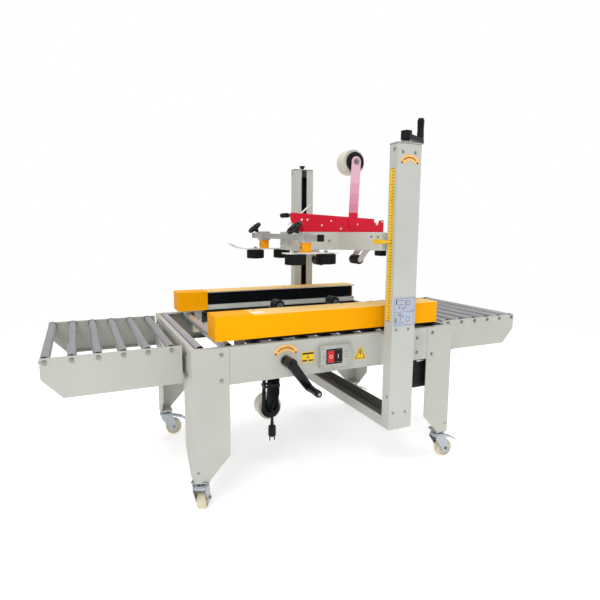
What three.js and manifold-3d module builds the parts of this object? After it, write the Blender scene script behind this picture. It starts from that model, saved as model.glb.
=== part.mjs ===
// Semi-automatic carton sealer: a wheeled frame with a roller bed, two side belts, a lower tape
// head under the bed and an upper tape head on a carriage that two columns guide up and down.
// Millimetres, +X along the carton's travel, +Y away from the operator, +Z up, floor at z = 0.
// The machine is drawn from a level DATUM_HEIGHT above the floor; only the casters reach below it.
import * as THREE from 'three';
import { mergeVertices } from 'three/addons/utils/BufferGeometryUtils.js';
import Module from 'manifold-3d';

const wasm = await Module();
wasm.setup();

// ---- driving dimensions ----
const DATUM_HEIGHT = 12;
const PLATE = 3; // sheet-metal thickness
const GAP = 0.3; // gap between pieces that touch
const FRAME_HALF_LENGTH = 491;
const FRAME_HALF_WIDTH = 346;
const FRAME_TOP = 516;
const FRAME_BOTTOM = 399;
const LIP = 20; // width of the frame's folded lips
const END_LIP = 12;
const LEG_WIDTH = 115;
const LEG_DEPTH = 120;
const LEG_FOOT_WIDTH = 47;
const LEG_FOOT_TOP = 173; // where the leg starts to narrow
const LEG_BOTTOM = 100;
const ROLLER_RADIUS = 13.5;
const ROLLER_AXIS_Z = 508;
const BED_ROLLER_FIRST_X = -458;
const BED_ROLLER_PITCH = 88;
const BED_ROLLER_COUNT = 11;
const BED_ROLLER_HALF = 321;
const AXLE_RADIUS = 4.5;
const HEAD_RAIL_X = [-172, 262]; // rails beside the lower tape head
const HEAD_RAIL_Y = [52, 55];
const HEAD_RAIL_BOTTOM = 420;
const GUIDE_ROD_X = [-326, 290];
const GUIDE_ROD_Z = 455;
const GUIDE_ROD_RADIUS = 10;
const WIDTH_SCREW_X = -190;
const WIDTH_SCREW_Z = 455;
const WIDTH_SCREW_RADIUS = 9;

const TABLE_INNER_X = 504;
const TABLE_OUTER_X = 887;
const TABLE_HALF_WIDTH = 278;
const TABLE_TOP = 519;
const TABLE_BOTTOM = 401;
const TABLE_CHAMFER = [54, 59];
const TABLE_ROLLER_FIRST_X = 534;
const TABLE_ROLLER_LAST_X = 875;
const TABLE_ROLLERS = 6;
const TABLE_ROLLER_HALF = 272;
const TABLE_AXLE_RADIUS = 4;

const COLUMN_X = [164, 257];
const COLUMN_Y = [375, 419];
const COLUMN_Z = [185, 1144];
const COLUMN_CENTRE_X = 210.5;
const SCREW_Y = 397;
const LIFT_SCREW_RADIUS = 10;
const SLOT_HALF = 12.5;
const SLOT_Z = [240, 1110];
const BEAM_Z = [184, 222];

const CARRIAGE_X = [158, 263];
const CARRIAGE_HALF_SPAN = 355;
const CARRIAGE_TOP = 860;
const CARRIAGE_BOTTOM_END = 800;
const CARRIAGE_BOTTOM_MID = 791;
const HEAD_BOX_X = [-45, 380];
const HEAD_BOX_HALF_WIDTH = 50;
const PRESS_BAR_X = [-66, -46];
const PRESS_BAR_Z = [832, 852];
const PRESS_BAR_HALF = 320;

const HEAD_PLATE_Y = [41, 44];
const HEAD_SHAFT_RADIUS = 7;
const SWING_ROLLER_RADIUS = 19;
const UPPER_FRONT = { pivot: [38, 832], roller: [100, 748] };
const UPPER_REAR = { pivot: [340, 832], roller: [275, 748] };
const LOWER_FRONT = { pivot: [-138, 493], roller: [-78, 580] };
const LOWER_REAR = { pivot: [225, 493], roller: [165, 580] };
const UPPER_ROLL = [238, 1134];
const LOWER_ROLL = [-122, 176];
const TAPE_RADIUS = 48;
const TAPE_HALF_WIDTH = 27;
const HUB_RADIUS = 38;
const SPINDLE_RADIUS = 6;

const BELT_X = [-415, 420]; // ends of a belt unit's cover
const BELT_FACE_Y = 243;
const BELT_OUTER_Y = 338;
const BELT_COVER_Z = [534, 610];
const BELT_Z = [557, 605];
const BELT_THICKNESS = 4;
const BELT_RECESS = 3.6; // the belt runs just behind the face of its end box
const PULLEY_RADIUS = 31;
const PULLEY_X = [-373, 378];
const PULLEY_Y = BELT_FACE_Y + BELT_RECESS + BELT_THICKNESS + PULLEY_RADIUS;
const END_BOX_LENGTH = 122;

const PRESS_Y = 203; // press brackets from the centre line
const PRESS_POST_X = [-72, -40];
const PRESS_WHEEL_X = [-95, 25];
const PRESS_WHEEL_RADIUS = 36;
const PRESS_WHEEL_Z = [749, 784];
const PRESS_PLATE_Z = [786, 790];
const KNOB_CENTRE = [-98, 875];
const KNOB_TILT = 40; // degrees from upright, towards -X

const CASTER_X = 467;
const CASTER_Y = 321;
const CASTER_HEIGHT = LEG_BOTTOM + DATUM_HEIGHT;
const CASTER_TRAIL = 30;
const WHEEL_RADIUS = 33;
const WHEEL_HALF_WIDTH = 14;

const CRANK_ARM = 105;
const HEIGHT_CRANK_ANGLE = 27; // degrees from +X towards +Y
const WIDTH_CRANK_ANGLE = -54; // degrees from +X towards +Z
const CRANK_GRIP_LENGTH = 68;
const CRANK_GRIP_RADIUS = 12;

const SWITCH_X = [-73, 45];
const SWITCH_Z = [418, 491];
const SWITCH_DEPTH = 16;
const BUTTON_HALF = [12, 19];
const BUTTON_X = { stop_button: -35.5, start_button: -8.5 };
const BUTTON_Z = 455;

const CORD_RADIUS = 4;
const HANK_X = -135;
const HANK_Y = -71;
const HANK_Z = [170.3, 395.7];
const HANK_RADIUS = 31.2; // outside radius of its folds
const HANK_LAYERS = 4; // runs of cord side by side along Y
const HANK_PITCH = 8.6;
const HANK_HALF_SPREAD = ((HANK_LAYERS - 1) * HANK_PITCH) / 2;

const CRANK_REACH_Y = 463; // the width crank's grip reaches this far towards the operator
const ORIGIN_SHIFT_Y = (CRANK_REACH_Y - COLUMN_Y[1]) / 2; // puts the overall box's centre on y = 0

// ---- colours ----
const BEIGE = { color: 0xc9c8bc, roughness: 0.5, metalness: 0 };
const YELLOW = { color: 0xffb000, roughness: 0.45, metalness: 0 };
const RED = { color: 0xc8102e, roughness: 0.45, metalness: 0 };
const BLACK = { color: 0x15161a, roughness: 0.6, metalness: 0 };
const BELT = { color: 0x101418, roughness: 0.8, metalness: 0 };
const STEEL = { color: 0xb9b9bd, roughness: 0.3, metalness: 0.9 };
const ZINC = { color: 0xaebbc4, roughness: 0.35, metalness: 0.9 };
const CREAM = { color: 0xd8cfae, roughness: 0.5, metalness: 0 };
const TAPE = { color: 0xcfc2a2, roughness: 0.4, metalness: 0 };
const PALE_GREY = { color: 0xb8b8b4, roughness: 0.5, metalness: 0 };

// ---- small shape helpers; every one gives a manifold solid ----
const rad = (degrees) => (degrees * Math.PI) / 180;

function solid(geometry) {
  const bare = geometry.index ? geometry.toNonIndexed() : geometry.clone();
  bare.deleteAttribute('normal');
  bare.deleteAttribute('uv');
  const merged = mergeVertices(bare, 1e-4);
  return new wasm.Manifold(new wasm.Mesh({
    numProp: 3,
    vertProperties: Float32Array.from(merged.attributes.position.array),
    triVerts: Uint32Array.from(merged.index.array),
  }));
}

function box(x, y, z) {
  const geometry = new THREE.BoxGeometry(x[1] - x[0], y[1] - y[0], z[1] - z[0]);
  geometry.translate((x[0] + x[1]) / 2, (y[0] + y[1]) / 2, (z[0] + z[1]) / 2);
  return solid(geometry);
}

// A round bar from one end to the other along X, Y or Z; centre holds the other two coordinates.
function bar(axis, radius, span, centre, segments = 16) {
  const length = span[1] - span[0];
  const middle = (span[0] + span[1]) / 2;
  const geometry = new THREE.CylinderGeometry(radius, radius, length, segments);
  if (axis === 'x') {
    geometry.rotateZ(Math.PI / 2);
    geometry.translate(middle, centre[0], centre[1]);
  } else if (axis === 'y') {
    geometry.translate(centre[0], middle, centre[1]);
  } else {
    geometry.rotateX(Math.PI / 2);
    geometry.translate(centre[0], centre[1], middle);
  }
  return solid(geometry);
}

// An outline drawn in X and Z, given thickness along Y.
function plateXZ(points, y) {
  const shape = new THREE.Shape(points.map(([x, z]) => new THREE.Vector2(x, z)));
  const geometry = new THREE.ExtrudeGeometry(shape, { depth: y[1] - y[0], bevelEnabled: false });
  geometry.rotateX(Math.PI / 2);
  geometry.translate(0, y[1], 0);
  return solid(geometry);
}

// An outline drawn in Y and Z, given thickness along X.
function plateYZ(points, x) {
  const shape = new THREE.Shape(points.map(([y, z]) => new THREE.Vector2(y, z)));
  const geometry = new THREE.ExtrudeGeometry(shape, { depth: x[1] - x[0], bevelEnabled: false });
  geometry.rotateX(Math.PI / 2);
  geometry.rotateZ(Math.PI / 2);
  geometry.translate(x[0], 0, 0);
  return solid(geometry);
}

// An outline drawn in X and Y, given thickness along Z.
function plateXY(points, z) {
  const shape = new THREE.Shape(points.map(([x, y]) => new THREE.Vector2(x, y)));
  const geometry = new THREE.ExtrudeGeometry(shape, { depth: z[1] - z[0], bevelEnabled: false });
  geometry.translate(0, 0, z[0]);
  return solid(geometry);
}

// A link outline: two circles of their own radii with straight sides between them.
function link(a, radiusA, b, radiusB, steps = 8) {
  const heading = Math.atan2(b[1] - a[1], b[0] - a[0]);
  const reach = Math.hypot(b[0] - a[0], b[1] - a[1]);
  const lean = Math.acos((radiusA - radiusB) / reach);
  const arc = (centre, radius, from, to) => Array.from({ length: steps + 1 }, (_, i) => {
    const angle = heading + from + ((to - from) * i) / steps;
    return [centre[0] + radius * Math.cos(angle), centre[1] + radius * Math.sin(angle)];
  });
  return [...arc(a, radiusA, lean, 2 * Math.PI - lean), ...arc(b, radiusB, -lean, lean)];
}

// A turned piece: (radius, height) points about the Y axis through a point in X and Z.
function turnedY(profile, centre, segments = 24) {
  const points = profile.map(([radius, y]) => new THREE.Vector2(radius, y));
  const geometry = new THREE.LatheGeometry(points, segments);
  geometry.translate(centre[0], 0, centre[1]);
  return solid(geometry);
}

function turnedZ(profile, centre, segments = 24) {
  const points = profile.map(([radius, z]) => new THREE.Vector2(radius, z));
  const geometry = new THREE.LatheGeometry(points, segments);
  geometry.rotateX(Math.PI / 2);
  geometry.translate(centre[0], centre[1], 0);
  return solid(geometry);
}

const join = (pieces) => pieces.reduce((whole, piece) => whole.add(piece));
const cut = (whole, holes) => holes.reduce((rest, hole) => rest.subtract(hole), whole);
const mirrored = (range) => [-range[1], -range[0]];
const signed = (range, side) => (side > 0 ? range : mirrored(range));

const machine = new THREE.Group();
machine.position.set(0, ORIGIN_SHIFT_Y, DATUM_HEIGHT);

function add(name, shape, finish, parent = machine) {
  const mesh = shape.getMesh();
  const geometry = new THREE.BufferGeometry();
  geometry.setAttribute('position', new THREE.BufferAttribute(mesh.vertProperties, 3));
  geometry.setIndex(new THREE.BufferAttribute(mesh.triVerts, 1));
  geometry.computeVertexNormals();
  const piece = new THREE.Mesh(geometry, new THREE.MeshStandardMaterial(finish));
  piece.name = name;
  parent.add(piece);
}

// ---- main frame: box frame, bed rollers, rails, guide rods and the cord gland ----
function bedRollers() {
  const pieces = [];
  for (let i = 0; i < BED_ROLLER_COUNT; i += 1) {
    const x = BED_ROLLER_FIRST_X + i * BED_ROLLER_PITCH;
    const split = x > HEAD_RAIL_X[0] && x < HEAD_RAIL_X[1];
    const inner = HEAD_RAIL_Y[1] + 2;
    const centre = [x, ROLLER_AXIS_Z];
    if (split) {
      for (const side of [-1, 1]) {
        const axle = signed([HEAD_RAIL_Y[0] + 1, FRAME_HALF_WIDTH - 5], side);
        pieces.push(bar('y', ROLLER_RADIUS, signed([inner, BED_ROLLER_HALF], side), centre));
        pieces.push(bar('y', AXLE_RADIUS, axle, centre, 8));
      }
    } else {
      pieces.push(bar('y', ROLLER_RADIUS, [-BED_ROLLER_HALF, BED_ROLLER_HALF], centre));
      pieces.push(bar('y', AXLE_RADIUS, [5 - FRAME_HALF_WIDTH, FRAME_HALF_WIDTH - 5], centre, 8));
    }
  }
  return pieces;
}

function mainFrame() {
  const ringX = FRAME_HALF_LENGTH - PLATE - GAP;
  const ringY = FRAME_HALF_WIDTH - PLATE - GAP;
  const height = [FRAME_BOTTOM, FRAME_TOP];
  const tall = [FRAME_BOTTOM - 10, FRAME_TOP + 10];
  const skinX = FRAME_HALF_LENGTH - LEG_WIDTH - GAP;
  const skinY = FRAME_HALF_WIDTH - LEG_DEPTH - GAP;
  const ring = cut(box([-ringX, ringX], [-ringY, ringY], height), [
    box([PLATE - ringX, ringX - PLATE], [PLATE - ringY, ringY - PLATE], tall),
  ]);
  const pieces = [ring, ...bedRollers()];
  for (const side of [-1, 1]) {
    const lipY = signed([ringY - LIP, ringY], side);
    pieces.push(box([-skinX, skinX], signed([ringY - 1, FRAME_HALF_WIDTH], side), height));
    pieces.push(box(signed([ringX - 1, FRAME_HALF_LENGTH], side), [-skinY, skinY], height));
    pieces.push(box([-ringX, ringX], lipY, [FRAME_TOP - PLATE, FRAME_TOP]));
    pieces.push(box([-ringX, ringX], lipY, [FRAME_BOTTOM, FRAME_BOTTOM + PLATE]));
    pieces.push(box(signed([ringX - END_LIP, ringX], side), [-ringY, ringY],
      [FRAME_TOP - PLATE, FRAME_TOP]));
    pieces.push(box(HEAD_RAIL_X, signed(HEAD_RAIL_Y, side), [HEAD_RAIL_BOTTOM, FRAME_TOP - 4]));
  }
  for (const x of GUIDE_ROD_X) {
    pieces.push(bar('y', GUIDE_ROD_RADIUS, [1 - ringY, ringY - 1], [x, GUIDE_ROD_Z]));
  }
  const gland = [HANK_X, HANK_Y + HANK_HALF_SPREAD];
  const glandZ = HANK_Z[1] + GAP;
  pieces.push(box([HANK_X - 15, HANK_X + 15], [gland[1] - 14, -HEAD_RAIL_Y[0]],
    [HEAD_RAIL_BOTTOM, HEAD_RAIL_BOTTOM + PLATE]));
  pieces.push(turnedZ([[0, glandZ], [CORD_RADIUS + 0.6, glandZ], [9, HEAD_RAIL_BOTTOM - 6],
    [11, HEAD_RAIL_BOTTOM - 6], [11, HEAD_RAIL_BOTTOM + 1], [0, HEAD_RAIL_BOTTOM + 1]], gland, 16));
  return cut(join(pieces), [
    bar('y', WIDTH_SCREW_RADIUS + 1.5, [-FRAME_HALF_WIDTH - 1, 4 - ringY + 1],
      [WIDTH_SCREW_X, WIDTH_SCREW_Z]),
  ]);
}

// ---- legs: folded corner plates that narrow to a small foot ----
function leg(endSide, sideSide) {
  const x0 = FRAME_HALF_LENGTH;
  const y0 = FRAME_HALF_WIDTH;
  const footDepth = LEG_FOOT_WIDTH + 3;
  const outline = (reach, width, foot, sign) => [
    [sign * reach, FRAME_TOP],
    [sign * reach, LEG_BOTTOM],
    [sign * (reach - foot), LEG_BOTTOM],
    [sign * (reach - width), LEG_FOOT_TOP],
    [sign * (reach - width), FRAME_TOP],
  ];
  const face = plateXZ(outline(x0, LEG_WIDTH, LEG_FOOT_WIDTH, endSide),
    signed([y0 - PLATE, y0], sideSide));
  const end = plateYZ(outline(y0, LEG_DEPTH, footDepth, sideSide),
    signed([x0 - PLATE, x0], endSide));
  const foot = box(signed([x0 - LEG_FOOT_WIDTH, x0], endSide),
    signed([y0 - footDepth, y0], sideSide), [LEG_BOTTOM, LEG_BOTTOM + PLATE]);
  return join([face, end, foot]);
}

// ---- casters: a swivelling fork with a brake pedal, and a wheel ----
// Drawn from the floor up, with the swivel axis at the origin and the wheel trailing towards +X.
function casterFork() {
  const cheek = [
    [-18, 95], [-22, 80], [13, 28], [22, 19], [38, 19], [45, 28], [44, 42], [27, 80], [21, 95],
  ];
  const cheekY = [WHEEL_HALF_WIDTH + 4, WHEEL_HALF_WIDTH + 7];
  const axle = [CASTER_TRAIL, WHEEL_RADIUS];
  const axleY = [WHEEL_HALF_WIDTH + 3, WHEEL_HALF_WIDTH + 9];
  const crownHalf = WHEEL_HALF_WIDTH + 5.5;
  return cut(join([
    box([-25, 25], [-25, 25], [CASTER_HEIGHT - PLATE - GAP, CASTER_HEIGHT - GAP]),
    bar('z', 15, [96, CASTER_HEIGHT - PLATE], [0, 0]),
    bar('z', 24.5, [88, 99], [0, 0], 20),
    box([-17, 22], [-crownHalf, crownHalf], [82, 90]),
    plateXZ(cheek, cheekY),
    plateXZ(cheek, mirrored(cheekY)),
    bar('y', 5, axleY, axle, 8),
    bar('y', 5, mirrored(axleY), axle, 8),
    plateXZ([[18, 89], [19, 84], [66, 68], [80, 57], [83, 60], [68, 72]], [-15, 15]),
  ]), [bar('y', 3.4, [-WHEEL_HALF_WIDTH - 5, WHEEL_HALF_WIDTH + 5], axle, 12)]);
}

function casterWheel() {
  const r = WHEEL_RADIUS;
  const h = WHEEL_HALF_WIDTH;
  const stub = h + 4.5;
  return turnedY([
    [0, -stub], [3, -stub], [3, -h], [9, -h], [11, -h + 3], [r - 6, -h + 3], [r - 5, -h],
    [r - 2, -h], [r, -h + 3], [r, h - 3], [r - 2, h], [r - 5, h], [r - 6, h - 3],
    [11, h - 3], [9, h], [3, h], [3, stub], [0, stub],
  ], [CASTER_TRAIL, WHEEL_RADIUS], 24);
}

// ---- roller tables ----
function table(end) {
  const x = (value) => end * value;
  const side = [
    [x(TABLE_INNER_X), TABLE_TOP],
    [x(TABLE_OUTER_X), TABLE_TOP],
    [x(TABLE_OUTER_X), TABLE_BOTTOM + TABLE_CHAMFER[1]],
    [x(TABLE_OUTER_X - TABLE_CHAMFER[0]), TABLE_BOTTOM],
    [x(TABLE_INNER_X), TABLE_BOTTOM],
  ];
  const half = TABLE_HALF_WIDTH;
  const pieces = [
    box(signed([TABLE_INNER_X, TABLE_INNER_X + PLATE], end), [1 - half, half - 1], [TABLE_BOTTOM, 492]),
    bar('y', 9, [1 - half, half - 1], [x(TABLE_OUTER_X - 70), TABLE_BOTTOM + 32]),
  ];
  for (const near of [-1, 1]) {
    const lipY = signed([half - LIP, half - 1], near);
    pieces.push(plateXZ(side, signed([half - PLATE, half], near)));
    pieces.push(box(signed([TABLE_INNER_X + 1, TABLE_OUTER_X - TABLE_CHAMFER[0]], end), lipY,
      [TABLE_BOTTOM, TABLE_BOTTOM + PLATE]));
    pieces.push(box(signed([TABLE_OUTER_X - PLATE, TABLE_OUTER_X], end), lipY,
      [TABLE_BOTTOM + TABLE_CHAMFER[1], 490]));
    pieces.push(box(signed([FRAME_HALF_LENGTH + GAP, TABLE_INNER_X + 1], end),
      signed([150, 190], near), [440, 480]));
  }
  const holes = tableRollerPositions().map((px) => (
    bar('y', TABLE_AXLE_RADIUS + 0.4, [-half - 1, half + 1], [x(px), ROLLER_AXIS_Z], 12)));
  return cut(join(pieces), holes);
}

function tableRollerPositions() {
  const pitch = (TABLE_ROLLER_LAST_X - TABLE_ROLLER_FIRST_X) / (TABLE_ROLLERS - 1);
  return Array.from({ length: TABLE_ROLLERS }, (_, i) => TABLE_ROLLER_FIRST_X + i * pitch);
}

function tableRoller(x) {
  const half = TABLE_ROLLER_HALF;
  const stub = TABLE_HALF_WIDTH - 0.5;
  const axle = TABLE_AXLE_RADIUS;
  const r = ROLLER_RADIUS;
  return turnedY([
    [0, -stub], [axle, -stub], [axle, -half], [r, -half], [r, half], [axle, half], [axle, stub],
    [0, stub],
  ], [x, ROLLER_AXIS_Z], 16);
}

// ---- columns and the beam that joins their feet ----
function column(side) {
  const outer = signed(COLUMN_Y, side);
  const inside = signed([COLUMN_Y[0] + PLATE, COLUMN_Y[1] - PLATE], side);
  const slotX = [COLUMN_CENTRE_X - SLOT_HALF, COLUMN_CENTRE_X + SLOT_HALF];
  const holes = [
    box([COLUMN_X[0] + PLATE, COLUMN_X[1] - PLATE], inside, [COLUMN_Z[0] - 5, COLUMN_Z[1] - PLATE]),
    box(slotX, signed([COLUMN_Y[0] - 1, COLUMN_Y[0] + PLATE + 1], side), SLOT_Z),
  ];
  if (side < 0) {
    holes.push(bar('z', LIFT_SCREW_RADIUS + 0.8, [COLUMN_Z[1] - 5, COLUMN_Z[1] + 5],
      [COLUMN_CENTRE_X, -SCREW_Y]));
  }
  const shell = cut(box(COLUMN_X, outer, COLUMN_Z), holes);
  const spacerY = signed([FRAME_HALF_WIDTH + GAP, COLUMN_Y[0] + PLATE], side);
  return join([
    shell,
    box([COLUMN_X[0] + 6, slotX[0] - 4], spacerY, [FRAME_BOTTOM + 6, FRAME_TOP - 6]),
    box([slotX[1] + 4, COLUMN_X[1] - 6], spacerY, [FRAME_BOTTOM + 6, FRAME_TOP - 6]),
  ]);
}

function baseBeam() {
  const end = COLUMN_Y[0] - GAP;
  return cut(box(COLUMN_X, [-end, end], BEAM_Z), [
    box([COLUMN_X[0] + PLATE, COLUMN_X[1] - PLATE], [PLATE - end, end - PLATE],
      [BEAM_Z[0] + PLATE, BEAM_Z[1] + 5]),
  ]);
}

// ---- head carriage: cross beam, head box, slide blocks and press bar ----
function headCarriage() {
  const span = CARRIAGE_HALF_SPAN;
  const half = HEAD_BOX_HALF_WIDTH;
  const beam = plateYZ([
    [-span, CARRIAGE_TOP], [-span, CARRIAGE_BOTTOM_END], [-half, CARRIAGE_BOTTOM_MID],
    [half, CARRIAGE_BOTTOM_MID], [span, CARRIAGE_BOTTOM_END], [span, CARRIAGE_TOP],
  ], CARRIAGE_X);
  const underside = [CARRIAGE_BOTTOM_MID - 10, CARRIAGE_TOP - PLATE];
  const hollow = box([CARRIAGE_X[0] + PLATE, CARRIAGE_X[1] - PLATE], [PLATE - span, span - PLATE],
    underside);
  const headBox = box(HEAD_BOX_X, [-half, half], [CARRIAGE_BOTTOM_MID, CARRIAGE_TOP]);
  const headHollow = box([HEAD_BOX_X[0] + PLATE, HEAD_BOX_X[1] - PLATE],
    [PLATE - half, half - PLATE], [CARRIAGE_BOTTOM_MID - 10, CARRIAGE_TOP + 10]);
  const pieces = [
    cut(join([cut(beam, [hollow]), headBox]), [headHollow]),
    box(PRESS_BAR_X, [-PRESS_BAR_HALF, PRESS_BAR_HALF], PRESS_BAR_Z),
    box([PRESS_BAR_X[1] - 1, HEAD_BOX_X[0] + 1], [-40, 40], [PRESS_BAR_Z[0] + 1, PRESS_BAR_Z[1] - 1]),
  ];
  const holes = [];
  for (const side of [-1, 1]) {
    pieces.push(box([COLUMN_CENTRE_X - 8.5, COLUMN_CENTRE_X + 8.5],
      signed([span - 2, SCREW_Y - 12], side), [810, 850]));
    pieces.push(box([COLUMN_CENTRE_X - 35, COLUMN_CENTRE_X + 35],
      signed([SCREW_Y - 15, SCREW_Y + 15], side), [790, 870]));
    holes.push(bar('z', LIFT_SCREW_RADIUS + 1, [780, 880], [COLUMN_CENTRE_X, side * SCREW_Y]));
  }
  return cut(join(pieces), holes);
}

// ---- tape heads ----
function tapeArm(from, to) {
  return join([
    plateXZ(link(from, 20, to, 20), [-HEAD_PLATE_Y[1] - PLATE, -HEAD_PLATE_Y[1] + 1]),
    bar('y', SPINDLE_RADIUS, [-HEAD_PLATE_Y[1] - PLATE, TAPE_HALF_WIDTH + 4], to, 12),
  ]);
}

function upperTapeHead() {
  const nearPlate = [
    [-42, 932], [-42, 905], [-34, 892], [-20, 888], [5, 886], [13, 880], [13, 797],
    [376, 797], [376, 908], [354, 908], [354, 899], [330, 899], [330, 913],
  ];
  const farPlate = [[13, 929], [13, 797], [376, 797], [376, 911]];
  return join([
    plateXZ(nearPlate, mirrored(HEAD_PLATE_Y)),
    plateXZ(farPlate, HEAD_PLATE_Y),
    ...[[60, 905], [190, 880], [300, 885]].map((at) => (
      bar('y', 6, [1 - HEAD_PLATE_Y[1], HEAD_PLATE_Y[1] - 1], at, 12))),
    ...[UPPER_FRONT.pivot, UPPER_REAR.pivot].map((at) => (
      bar('y', HEAD_SHAFT_RADIUS, [1 - HEAD_PLATE_Y[1], HEAD_PLATE_Y[1] - 1], at))),
    bar('y', 8, [1 - HEAD_PLATE_Y[1], 12], [-30, 922], 12),
    tapeArm([228, 892], UPPER_ROLL),
  ]);
}

function lowerTapeHead() {
  const side = [
    [-156, 510], [-156, 470], [-140, 392], [240, 392], [252, 404], [252, 510],
  ];
  return join([
    plateXZ(side, HEAD_PLATE_Y),
    plateXZ(side, mirrored(HEAD_PLATE_Y)),
    ...[[-60, 412], [60, 430], [180, 412]].map((at) => (
      bar('y', 6, [1 - HEAD_PLATE_Y[1], HEAD_PLATE_Y[1] - 1], at, 12))),
    ...[LOWER_FRONT.pivot, LOWER_REAR.pivot].map((at) => (
      bar('y', HEAD_SHAFT_RADIUS, [1 - HEAD_PLATE_Y[1], HEAD_PLATE_Y[1] - 1], at))),
    tapeArm([-116, 424], LOWER_ROLL),
  ]);
}

function swingArm({ pivot, roller }) {
  const cheek = link(pivot, 14, roller, 11);
  return cut(join([
    plateXZ(cheek, [29, 33]),
    plateXZ(cheek, [-33, -29]),
    bar('y', SWING_ROLLER_RADIUS, [-27, 27], roller, 20),
    bar('y', 6, [-31, 31], roller, 12),
  ]), [bar('y', HEAD_SHAFT_RADIUS + 0.6, [-40, 40], pivot)]);
}

function tapeRoll(centre) {
  const h = TAPE_HALF_WIDTH;
  return turnedY([
    [SPINDLE_RADIUS + 0.5, -h - 11], [HUB_RADIUS, -h - 11], [HUB_RADIUS, -h - 6], [30, -h - 6],
    [30, -h], [TAPE_RADIUS, -h], [TAPE_RADIUS, h], [SPINDLE_RADIUS + 0.5, h],
    [SPINDLE_RADIUS + 0.5, -h - 11],
  ], centre, 28);
}

// ---- side-belt units; drawn on the far side, the near one is the mirror image ----
function beltLoop(side, grow) {
  const centreY = side * PULLEY_Y;
  const radius = PULLEY_RADIUS + grow;
  return link([PULLEY_X[0], centreY], radius, [PULLEY_X[1], centreY], radius, 12);
}

function driveBelt(side) {
  return cut(plateXY(beltLoop(side, BELT_THICKNESS), BELT_Z), [
    plateXY(beltLoop(side, 0), [BELT_Z[0] - 1, BELT_Z[1] + 1]),
  ]);
}

function beltCarriage(side) {
  const faceY = BELT_FACE_Y + 2;
  const backY = BELT_OUTER_Y - PLATE - GAP;
  const x = [BELT_X[0] + PLATE + GAP, BELT_X[1] - PLATE - GAP];
  const openX = [BELT_X[0] + END_BOX_LENGTH + GAP, x[1]];
  const blockY = signed([275, 305], side);
  const postY = signed([280, 300], side);
  const motorY = signed([235, 325], side);
  const pulleyY = side * PULLEY_Y;
  const blockZ = [436, 474];
  const postTop = BELT_COVER_Z[0] + 1;
  return cut(join([
    box(x, signed([faceY + 5, backY], side), [BELT_COVER_Z[0], BELT_COVER_Z[0] + PLATE]),
    box(openX, signed([faceY, faceY + PLATE], side), [BELT_COVER_Z[0], BELT_Z[0] - 2]),
    box(openX, signed([faceY, faceY + 9], side), [BELT_COVER_Z[0], BELT_COVER_Z[0] + PLATE]),
    box([PULLEY_X[0] + 40, PULLEY_X[1] - 40], signed([262, 290], side), [BELT_COVER_Z[0], BELT_Z[1]]),
    ...PULLEY_X.map((px) => bar('z', PULLEY_RADIUS - GAP, [BELT_COVER_Z[0], BELT_Z[1] - 2],
      [px, pulleyY], 24)),
    box([GUIDE_ROD_X[0] - 15, GUIDE_ROD_X[0] + 15], postY, [blockZ[1] - 1, postTop]),
    box([GUIDE_ROD_X[0] - 24, WIDTH_SCREW_X + 25], blockY, blockZ),
    box([GUIDE_ROD_X[1] - 15, GUIDE_ROD_X[1] + 15], postY, [blockZ[1] - 1, postTop]),
    box([GUIDE_ROD_X[1] - 24, GUIDE_ROD_X[1] + 24], blockY, blockZ),
    bar('z', 14, [390, postTop], [PULLEY_X[1], pulleyY]),
    box([333, 423], motorY, [286, 392]),
  ]), [
    ...GUIDE_ROD_X.map((px) => bar('y', GUIDE_ROD_RADIUS + 0.8, signed([260, 320], side),
      [px, GUIDE_ROD_Z])),
    bar('y', WIDTH_SCREW_RADIUS + 0.8, signed([260, 320], side), [WIDTH_SCREW_X, WIDTH_SCREW_Z]),
  ]);
}

function beltCover(side) {
  const full = box(BELT_X, signed([BELT_FACE_Y, BELT_OUTER_Y], side), BELT_COVER_Z);
  const inX = [BELT_X[0] + PLATE, BELT_X[1] - PLATE];
  const boxEnd = BELT_X[0] + END_BOX_LENGTH;
  const under = [BELT_COVER_Z[0] - 1, BELT_COVER_Z[1] - PLATE];
  const tall = [BELT_COVER_Z[0] - 1, BELT_COVER_Z[1] + 1];
  return cut(full, [
    box(inX, signed([BELT_FACE_Y + PLATE, BELT_OUTER_Y - PLATE], side), under),
    box([boxEnd, inX[1]], signed([BELT_FACE_Y - 1, BELT_FACE_Y + PLATE + 1], side),
      [BELT_COVER_Z[0] - 1, BELT_COVER_Z[1] - PLATE]),
    box([inX[1] - 1, BELT_X[1] + 1], signed([BELT_FACE_Y - 1, BELT_FACE_Y + 24], side), tall),
  ]);
}

// ---- cranks ----
function crankGrip(length) {
  const r = CRANK_GRIP_RADIUS;
  return [
    [0, 0], [r - 2, 0], [r, 8], [r - 1, length * 0.5], [r, length - 8], [r - 3, length], [0, length],
  ];
}

function heightCrank() {
  const angle = rad(HEIGHT_CRANK_ANGLE);
  const centre = [COLUMN_CENTRE_X, -SCREW_Y];
  const tip = [centre[0] + CRANK_ARM * Math.cos(angle), centre[1] + CRANK_ARM * Math.sin(angle)];
  const base = COLUMN_Z[1] + 14;
  const grip = crankGrip(CRANK_GRIP_LENGTH).map(([r, z]) => [r, z + base + 17]);
  return join([
    bar('z', LIFT_SCREW_RADIUS, [196, base + 1], centre),
    bar('z', 18, [base, base + 28], centre, 20),
    plateXY(link(centre, 15, tip, 12.5), [base + 2, base + 18]),
    turnedZ(grip, tip, 16),
  ]);
}

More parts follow.
